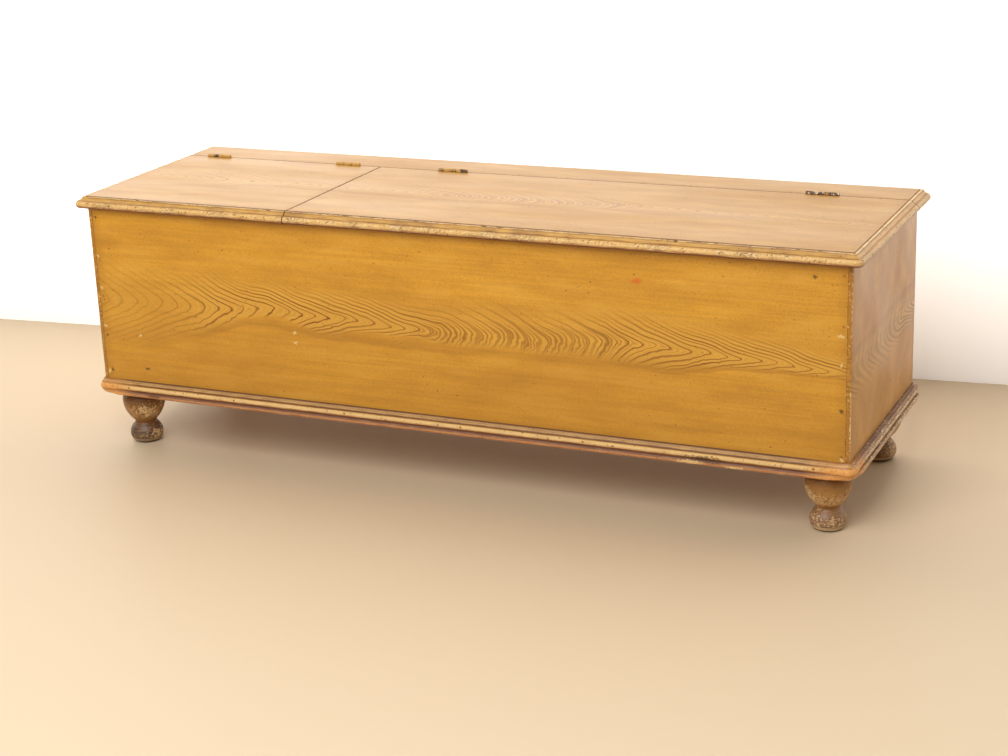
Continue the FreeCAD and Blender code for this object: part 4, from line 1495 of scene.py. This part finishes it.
@dataclass
class TurnedFeet:
    """Four turned feet, each with a spigot into the bottom boards."""

    nodes: tuple[str, ...] = ("foot_front_left", "foot_front_right", "foot_back_left", "foot_back_right")
    sides: int = 96
    levels: int = 64
    flake_depth: float = 0.7
    flake_size: float = 8.0
    collar: float = 2.0
    same_level: float = 0.1
    # Each side takes the paint in its own tones, toned to the light there: the left darker, a shaded copy,
    # and the right lighter, a lit copy, which is also chipped more. Both darken towards the top, as painted
    # shade under the plinth.
    bands: dict[str, Stops] = field(default_factory=lambda: {
        "left": ((0.0, "#2C201A"), (0.03, "#44332A"), (0.055, "#A88A60"), (0.08, "#A0825A"),
                 (0.10, "#4E3C36"), (0.23, "#4E3A30"), (0.31, "#6A4A30"), (0.37, "#74491E"),
                 (0.44, "#96662E"), (0.58, "#9E6E34"), (0.72, "#8C5E28"), (0.86, "#74491E"),
                 (1.0, "#4E3216")),
        "right": ((0.0, "#3A2A20"), (0.03, "#5A4230"), (0.05, "#D2B080"), (0.075, "#D8B688"),
                  (0.095, "#6A4E3C"), (0.13, "#8A6850"), (0.23, "#8E6A4E"), (0.31, "#8A6440"),
                  (0.37, "#8A5C2C"), (0.44, "#B07E42"), (0.58, "#B88648"), (0.72, "#A67638"),
                  (0.86, "#8E602C"), (1.0, "#5E3E1C"))})
    chip_starts: dict[str, float] = field(default_factory=lambda: {"left": 1.11, "right": 1.05})
    exposed: Table = ((0.0, 0.0), (0.09, 0.2), (0.13, 1.0), (0.24, 0.9), (0.33, 0.3), (0.42, 0.5),
                      (0.50, 1.0), (0.62, 0.9), (0.74, 0.3), (1.0, 0.0))

    def build(self) -> None:
        """Turn each foot to the CAD foot's outline, and flake its paint."""
        floor_of_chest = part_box("bottom_board_1")[0].z
        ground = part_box(self.nodes[0])[0].z
        paints = {side: BandedPaint("flaked_%s_foot_paint" % side, ground, floor_of_chest, self.bands[side],
                                    self.exposed, pale="#BF9050", chip="#DDB885", dirt="#4A352C",
                                    chip_start=self.chip_starts[side], chip_length=5.0, chip_width=3.4,
                                    chip_drift=0.8, sheen=0.5).material()
                  for side in self.bands}
        for node in self.nodes:
            points = node_points(node)
            low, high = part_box(node)
            middle = (low + high) / 2
            radius = np.hypot(points[:, 0] - middle.x, points[:, 1] - middle.y)
            heights = np.unique(points[:, 2].round(5))
            room = self.same_level * MM
            widest = np.array([radius[np.abs(points[:, 2] - z) < room].max() for z in heights])
            stations = np.linspace(low.z, floor_of_chest, self.levels)
            radii = np.interp(stations, heights, widest)
            spigot = widest[-1]
            stations = np.concatenate([stations, [floor_of_chest, high.z]])
            radii = np.concatenate([radii, [spigot, spigot]])
            shell, faces = round_bar(Vector((middle.x, middle.y, 0)), UP, stations, radii, self.sides)
            flakes = nicked(shell, self.flake_size, gain=1.4, spared=0.2)
            flakes[shell[:, 2] > floor_of_chest - self.collar * MM] = 0
            away = shell - np.array([middle.x, middle.y, 0])
            away[:, 2] = 0
            away /= np.linalg.norm(away, axis=1)[:, None]
            shell = shell - away * (flakes * self.flake_depth * MM)[:, None]
            thing = new_object("worn_" + node, (shell, faces))
            dress(thing, (node,), [paints[node.split("_")[-1]]], crease=50.0)


@dataclass
class Hinge:
    """One butt hinge: two leaves with their knuckles, and the pin."""

    name: str
    knuckles: int
    ease: float = 0.5
    sides: int = 28
    gap: float = 1.0
    relief: float = 0.4
    plate_places: Span = (0.25, 2.45)
    tab_ease: Span = (0.3, 0.2)
    tab_top: float = 0.5
    room: float = 0.2
    housing_half: float = 2.47
    headroom: float = 4.0

    def axis(self) -> tuple[Vector, Vector, float]:
        """Return the barrel's middle line and size.

        Returns:
            The two ends of the line, and the barrel's radius.
        """
        low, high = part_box(self.name + "_pin")
        middle = (low + high) / 2
        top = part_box(self.name + "_rail_leaf")[1].z
        return Vector((low.x, middle.y, middle.z)), Vector((high.x, middle.y, middle.z)), top - middle.z

    def span(self, index: int) -> Span:
        """Return where a knuckle is.

        Args:
            index: its number from the left, from 0.

        Returns:
            Where it starts and ends, measured along the barrel.
        """
        start, end, _ = self.axis()
        pitch = (end.x - start.x) / self.knuckles
        return index * pitch + self.gap * MM / 2, (index + 1) * pitch - self.gap * MM / 2

    def knuckle(self, index: int) -> Shell:
        """Return one knuckle with eased ends.

        Args:
            index: its number from the left, from 0.

        Returns:
            Its points and faces.
        """
        start, _, radius = self.axis()
        low, high = self.span(index)
        stations, radii = eased_bar(high - low, radius, self.ease * MM)
        return round_bar(start, RIGHT, low + stations, radii, self.sides)

    def plate(self, leaf: str, first: int) -> list[Shell]:
        """Return the flat of one leaf, and the tabs that run up from it into its own knuckles.

        Args:
            leaf: the leaf's CAD node.
            first: its first knuckle.

        Returns:
            The flat and the tabs.
        """
        low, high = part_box(leaf)
        start, _, radius = self.axis()
        side = -1 if leaf.endswith("lid_leaf") else 1
        near, far = sorted(start.y + side * place * MM for place in self.plate_places)
        top = start.z - radius - self.relief * MM
        shells = [worn_board(Vector((low.x, near, low.z)), Vector((high.x, far, top)), radius=0.25,
                             steps=(6.0, 2.0, 6.0), wear=0.1)]
        ease = Vector((self.tab_ease[0], self.tab_ease[1], self.tab_ease[0])) * MM
        for index in range(first, self.knuckles, 2):
            left, right = (start.x + place for place in self.span(index))
            shells.append(plain_box(Vector((left + ease.x, near + ease.y, top - ease.z)),
                                    Vector((right - ease.x, far - ease.y, start.z - self.tab_top * radius))))
        return shells

    def recess(self) -> list[Shell]:
        """Return what is cut from the rail and the lid.

        Returns:
            The housing of the leaves and that of the barrel.
        """
        start, end, radius = self.axis()
        room, half = self.room * MM, self.housing_half * MM
        low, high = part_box(self.name + "_rail_leaf")
        housing = plain_box(Vector((low.x - room, start.y - half, low.z - room)),
                            Vector((high.x + room, start.y + half, high.z + self.headroom * MM)))
        stations = np.array([-room, end.x - start.x + room])
        return [housing, round_bar(start, RIGHT, stations, np.full(2, radius + 2 * room), self.sides)]

    def build(self, iron: bpy.types.Material) -> None:
        """Build both leaves and the pin.

        Args:
            iron: the hinge's finish.
        """
        for leaf, first in (("rail_leaf", 0), ("lid_leaf", 1)):
            node = "%s_%s" % (self.name, leaf)
            barrel = [self.knuckle(index) for index in range(first, self.knuckles, 2)]
            thing = new_object("worn_" + node, joined(barrel + self.plate(node, first)))
            dress(thing, (node,), [iron])
        start, end, _ = self.axis()
        low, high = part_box(self.name + "_pin")
        stations, radii = eased_bar(end.x - start.x, (high.z - low.z) / 2, self.ease * MM)
        thing = new_object("worn_%s_pin" % self.name, round_bar(start, RIGHT, stations, radii, self.sides))
        dress(thing, (self.name + "_pin",), [iron])


@dataclass
class Top:
    """The two lids and the fixed rail that they hang on."""

    ease: float = 0.8
    # Colour by height up the front edges, 0 at the underside: the pale crown of the bead is a painted
    # highlight, the dark lower half of the bead painted shade and dirt, and the dark line near the top the
    # dirty joint
    bands: Stops = ((0.0, "#A07444"), (0.015, "#A07444"), (0.03, "#5C3A2C"), (0.12, "#80523C"),
                    (0.21, "#AC7A50"), (0.29, "#D0A062"), (0.38, "#E4B974"), (0.54, "#E6BB74"),
                    (0.62, "#D6A558"), (0.68, "#9C6C34"), (0.72, "#C4944A"), (0.82, "#D2A254"),
                    (0.90, "#C4924A"), (0.935, "#966830"), (0.965, "#D6AA5E"), (1.0, "#DCB26A"))
    # The end edges have the same painted highlight on the bead's crown and painted shade under it
    end_bands: Stops = ((0.0, "#A07848"), (0.015, "#A07848"), (0.03, "#6A4A36"), (0.10, "#94694A"),
                        (0.20, "#C2966A"), (0.34, "#DEB884"), (0.54, "#E4BE86"), (0.63, "#D2A468"),
                        (0.68, "#A27646"), (0.73, "#D4A66E"), (0.83, "#DEB47A"), (0.90, "#CC9C64"),
                        (0.93, "#A07246"), (0.955, "#D8B47E"), (1.0, "#DDBB88"))
    exposed: Table = ((0.0, 0.0), (0.16, 0.20), (0.28, 0.85), (0.58, 1.0), (0.68, 0.10), (0.80, 0.25),
                      (0.90, 0.20), (1.0, 0.60))
    edge_notches: tuple[Mark, ...] = (Mark((455, -231, 513), (5, 4, 4), "#5A3620"),
                                      Mark((625, -231, 513), (6, 4, 4), "#5A3620"),
                                      Mark((-300, -241, 503), (3, 8, 6), "#5A3620"))
    board_steps: Point = (6.0, 10.0, 6.0)
    nail_hole: float = 2.0
    figure_start: float = 50.0
    figure_shift: float = 10.0
    seam_line: float = 1.1
    front_line: float = 2.4
    front_line_out: float = 1.6
    rail_line: float = 1.3
    hinges: dict[str, Hinge] = field(init=False)
    lid_paints: dict[str, bpy.types.Material] = field(init=False)
    rail_paint: bpy.types.Material = field(init=False)
    pine_long: bpy.types.Material = field(init=False)
    pine_deep: bpy.types.Material = field(init=False)
    front_edge_paint: bpy.types.Material = field(init=False)
    end_edge_paint: bpy.types.Material = field(init=False)

    def __post_init__(self) -> None:
        """Name the hinges and make the finishes of the top."""
        counts = {"left_outer": 3, "left_inner": 3, "right_inner": 5, "right_outer": 5}
        self.hinges = {place: Hinge(place + "_hinge", count) for place, count in counts.items()}
        low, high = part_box("right_lid_board")
        left_low, left_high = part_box("left_lid_board")
        figure = CombedFigure(Axis.X, Axis.Y, left_low.x - self.figure_start * MM,
                              (low.y + high.y) / 2 + self.figure_shift * MM)
        # The lids and the rail take the front's paint with darker ground, streak and wiped tones: a shaded
        # copy, toned to the stronger light and sheen on the top, with shorter, finer streaks
        top_paint_shaded_copy = {"ground": "#BD8C39", "streak": "#AD7D33", "wiped": "#CF9F4C", "streak_length": 90.0,
                 "streak_width": 2.5, "cloud_strength": 0.35}
        self.lid_paints = {side: GrainedPaint("grained_paint_%s_lid" % side, side + "_lid_board", Axis.X,
                                              Axis.Y, (figure,), figure_share=0.9, front_joint=3.0,
                                              streak_strength=0.45, speck_size=3.6, speck_start=0.64,
                                              **top_paint_shaded_copy).material()
                           for side in ("left", "right")}
        self.rail_paint = GrainedPaint("grained_paint_rail", "back_rail", Axis.X, Axis.Y, **top_paint_shaded_copy).material()
        self.pine_long = BarePine("bare_pine_lids", Axis.X).material()
        self.pine_deep = BarePine("bare_pine_battens", Axis.Y).material()
        edge_low, edge_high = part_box("right_lid_front_moulding")
        seam = (Axis.X, (low.x + left_high.x) / 2, self.seam_line)
        front_joint = (Axis.Y, low.y - self.front_line_out * MM, self.front_line)
        rail_gap = (Axis.Y, (high.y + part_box("back_rail")[0].y) / 2, self.rail_line)
        self.front_edge_paint = BandedPaint("worn_lid_edge_paint_and_painted_light", edge_low.z, edge_high.z, self.bands,
                                            self.exposed, joints=(seam, front_joint), marks=self.edge_notches,
                                            soil_share=0.4, drift=0.07).material()
        self.end_edge_paint = BandedPaint("rubbed_lid_edge_paint_and_painted_light", edge_low.z, edge_high.z, self.end_bands,
                                          self.exposed, joints=(rail_gap,)).material()

    def build_boards(self) -> None:
        """Build the lid boards and the rail, let in for the hinges."""
        cuts = {place: hinge.recess() for place, hinge in self.hinges.items()}
        for side in ("left", "right"):
            node = side + "_lid_board"
            board = new_object("worn_%s_lid" % side, worn_board(*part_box(node), self.ease, self.board_steps))
            carve(board, [cut for place, both in cuts.items() if place.startswith(side) for cut in both])
            dress(board, (node,), [self.lid_paints[side], self.pine_long],
                  (DOWN, LEFT, RIGHT, FRONT, BACK))
        rail = new_object("worn_rail", worn_board(*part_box("back_rail"), self.ease, self.board_steps))
        carve(rail, [cut for both in cuts.values() for cut in both])
        dress(rail, ("back_rail",), [self.rail_paint, self.pine_long], (DOWN, LEFT, RIGHT, FRONT))

    def build_edges(self) -> None:
        """Build the mouldings of the lids and the rail."""
        low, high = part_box("right_lid_end_moulding")
        board_low, board_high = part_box("right_lid_board")
        left_low, left_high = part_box("left_lid_board")
        rail_low, rail_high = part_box("back_rail")
        moulding = lid_moulding(high.x - board_high.x, high.z - low.z)
        z, front = low.z, board_low.y
        depth = board_high.y - front
        rail_depth = rail_high.y - rail_low.y
        left_end, seam, right_end = (Vector((x, front, z)) for x in (left_low.x, board_low.x, board_high.x))
        rail_left, rail_right = (Vector((x, rail_low.y, z)) for x in (rail_low.x, rail_high.x))
        square, mitred = (False, False), (True, False)
        runs = {
            "left_lid_front_moulding": (left_end, RIGHT, FRONT, left_high.x - left_low.x, mitred),
            "right_lid_front_moulding": (seam, RIGHT, FRONT, board_high.x - board_low.x, mitred[::-1]),
            "left_lid_end_moulding": (left_end, BACK, LEFT, depth, mitred),
            "right_lid_end_moulding": (right_end, BACK, RIGHT, depth, mitred),
            "rail_moulding_left": (rail_left, BACK, LEFT, rail_depth, square),
            "rail_moulding_right": (rail_right, BACK, RIGHT, rail_depth, square),
        }
        for node, run in runs.items():
            thing = new_object("worn_" + node, moulding.run(*run))
            owner = "rail" if node.startswith("rail") else node.split("_")[0] + "_lid"
            carve(thing, nail_holes(owner + "_moulding_nails", node, self.nail_hole))
            dress(thing, (node,),
                  [self.front_edge_paint if "front" in node else self.end_edge_paint])

    def build(self) -> None:
        """Build the boards, their edges, the hinges and the battens."""
        self.build_boards()
        self.build_edges()
        painted = AgedIron("painted_hinge_iron", paint="#C99A4E", paint_fade=(0.34, 0.42)).material()
        daubed = AgedIron("daubed_hinge_iron", metal="#8B7F70", paint="#C99A4E",
                          paint_fade=(0.38, 0.47)).material()
        rubbed = AgedIron("rubbed_hinge_iron", metal="#BBA88C", rust="#5E3C26",
                          rust_fade=(0.42, 0.54)).material()
        irons = {"left_outer": painted, "left_inner": painted, "right_inner": daubed, "right_outer": rubbed}
        for place, hinge in self.hinges.items():
            hinge.build(irons[place])
        coat(("left_lid_batten_1", "left_lid_batten_2", "right_lid_batten_1", "right_lid_batten_2",
              "right_lid_batten_3"), self.pine_deep)


@dataclass
class Fasteners:
    """The nails and screws, which keep their solids."""

    nail_groups: tuple[str, ...] = ("front_nails", "back_nails", "bottom_nails", "plinth_nails", "rail_nails",
                                    "rail_moulding_nails", "left_lid_moulding_nails",
                                    "right_lid_moulding_nails")
    screw_groups: tuple[str, ...] = ("rail_hinge_screws", "left_lid_hinge_screws", "right_lid_hinge_screws",
                                     "left_lid_batten_screws", "right_lid_batten_screws")

    def build(self) -> None:
        """Coat every group."""
        nail_iron = AgedIron("cut_nail_iron", metal="#3A322C", paint="#B07E34", paint_fade=(0.38, 0.46))
        screw_steel = AgedIron("old_screw_steel", metal="#8A8178", rust_fade=(0.55, 0.7),
                               paint_fade=(0.8, 0.9))
        coat(self.nail_groups, nail_iron.material())
        coat(self.screw_groups, screw_steel.material())


@dataclass
class Studio:
    """A plain pale floor, a plain pale wall close behind, soft light, and the camera."""

    camera_place: Point = (1.57668, -3.37326, 1.39295)
    azimuth: float = 24.858
    elevation: float = 18.504
    roll: float = 2.261
    lens: float = 71.806
    sensor: float = 36.0
    floor_colour: str = "#D5C0A1"
    wall_colour: str = "#FBF8F4"
    wall_place: Span = (0.0, 0.60)
    wall_turn: float = 5.8
    room_size: float = 9.0
    sky_colour: str = "#FFFCF8"
    glow_span: Span = (-1.0, 0.6)
    glow_left: float = 1.2
    glow_right: float = 0.75
    glow_rise: Span = (0.0, 0.4)
    glow_low: float = 0.3
    sky_left: float = 0.45
    sky_low: float = 0.12
    sky_right: float = 0.14
    sky_rise: float = 0.6
    lamp_place: Point = (-0.05, -3.35, 3.1)
    lamp_aim: Point = (0.0, 0.0, 0.3)
    lamp_size: float = 3.0
    lamp_power: float = 149.0

    def build_camera(self) -> None:
        """Set the camera where the photograph was taken from."""
        az, el, roll = (math.radians(angle) for angle in (self.azimuth, self.elevation, self.roll))
        back = Vector((math.sin(az) * math.cos(el), -math.cos(az) * math.cos(el), math.sin(el)))
        level = UP.cross(back).normalized()
        upright = back.cross(level)
        right = level * math.cos(roll) - upright * math.sin(roll)
        up = upright * math.cos(roll) + level * math.sin(roll)
        data = bpy.data.cameras.new("photo_camera")
        data.lens, data.sensor_width = self.lens, self.sensor
        camera = bpy.data.objects.new("photo_camera", data)
        turn = Matrix((right, up, back)).transposed().to_4x4()
        camera.matrix_world = Matrix.Translation(self.camera_place) @ turn
        bpy.context.scene.collection.objects.link(camera)
        bpy.context.scene.camera = camera

    def build_room(self) -> None:
        """Lay the floor, and stand a wall behind that shows from its front only."""
        half = self.room_size
        # Pale boards, kept plain: a soft tan that takes the chest's shadow
        floor_graph = Graph(bpy.data.materials.new("plain_floor"))
        floor_paint = floor_graph.finish(Base_Color=linear(self.floor_colour), Roughness=0.55, IOR=1.5)
        square = np.array([(-half, -half, 0), (half, -half, 0), (half, half, 0), (-half, half, 0)])
        floor = new_object("floor", (square, [[0, 1, 2, 3]]))
        floor.data.materials.append(floor_paint)
        # White wall in window light: it glows, more to the left and less at its foot
        graph = Graph(bpy.data.materials.new("plain_wall"))
        axes = graph.axes(graph.place())
        across = graph.fade(axes[Axis.X.value], *self.glow_span, self.glow_left, self.glow_right)
        upward = graph.fade(axes[Axis.Z.value], *self.glow_rise, self.glow_low, 1.0)
        glow = graph.scaled(across, upward)
        lit = graph.add("BsdfPrincipled", Base_Color=linear(self.wall_colour), Roughness=0.9,
                        Emission_Color=linear(self.wall_colour), Emission_Strength=glow)
        behind = graph.add("NewGeometry").node.outputs["Backfacing"]
        graph.add("OutputMaterial", graph.add("MixShader", behind, lit, graph.add("BsdfTransparent")))
        turn = math.radians(self.wall_turn)
        along = Vector((math.cos(turn), math.sin(turn), 0)) * half
        foot = Vector((*self.wall_place, 0))
        corners = [foot - along, foot + along, foot + along + UP * half, foot - along + UP * half]
        wall = new_object("wall", (np.array(corners), [[0, 1, 2, 3]]))
        wall.data.materials.append(graph.owner)

    def build_light(self) -> None:
        """Light the room with a pale sky and one large soft lamp."""
        graph = Graph(bpy.data.worlds.new("studio"))
        axes = graph.axes(graph.add("TexCoord"))
        sideways = graph.fade(axes[Axis.X.value], -1.0, 1.0, self.sky_left, self.sky_right)
        upward = graph.fade(axes[Axis.Z.value], 0.0, self.sky_rise, self.sky_low, 1.0)
        strength = graph.scaled(sideways, upward)
        graph.add("OutputWorld", graph.add("Background", linear(self.sky_colour), strength))
        bpy.context.scene.world = graph.owner
        data = bpy.data.lights.new("key", "AREA")
        data.size, data.energy = self.lamp_size, self.lamp_power
        lamp = bpy.data.objects.new("key", data)
        lamp.location = self.lamp_place
        lamp.rotation_mode = "QUATERNION"
        lamp.rotation_quaternion = (Vector(self.lamp_aim) - lamp.location).to_track_quat("-Z", "Y")
        bpy.context.scene.collection.objects.link(lamp)
        bpy.context.scene.view_settings.view_transform = "Standard"

    def build(self) -> None:
        """Set the camera, the room and the light."""
        self.build_camera()
        self.build_room()
        self.build_light()


def main() -> None:
    """Build every sub-assembly in order."""
    logging.basicConfig(level=logging.INFO, format="%(name)s: %(message)s")
    for assembly in (Carcass(), Plinth(), TurnedFeet(), Top(), Fasteners(), Studio()):
        log.info("building the %s", type(assembly).__name__)
        assembly.build()


if __name__ == "__main__":
    main()
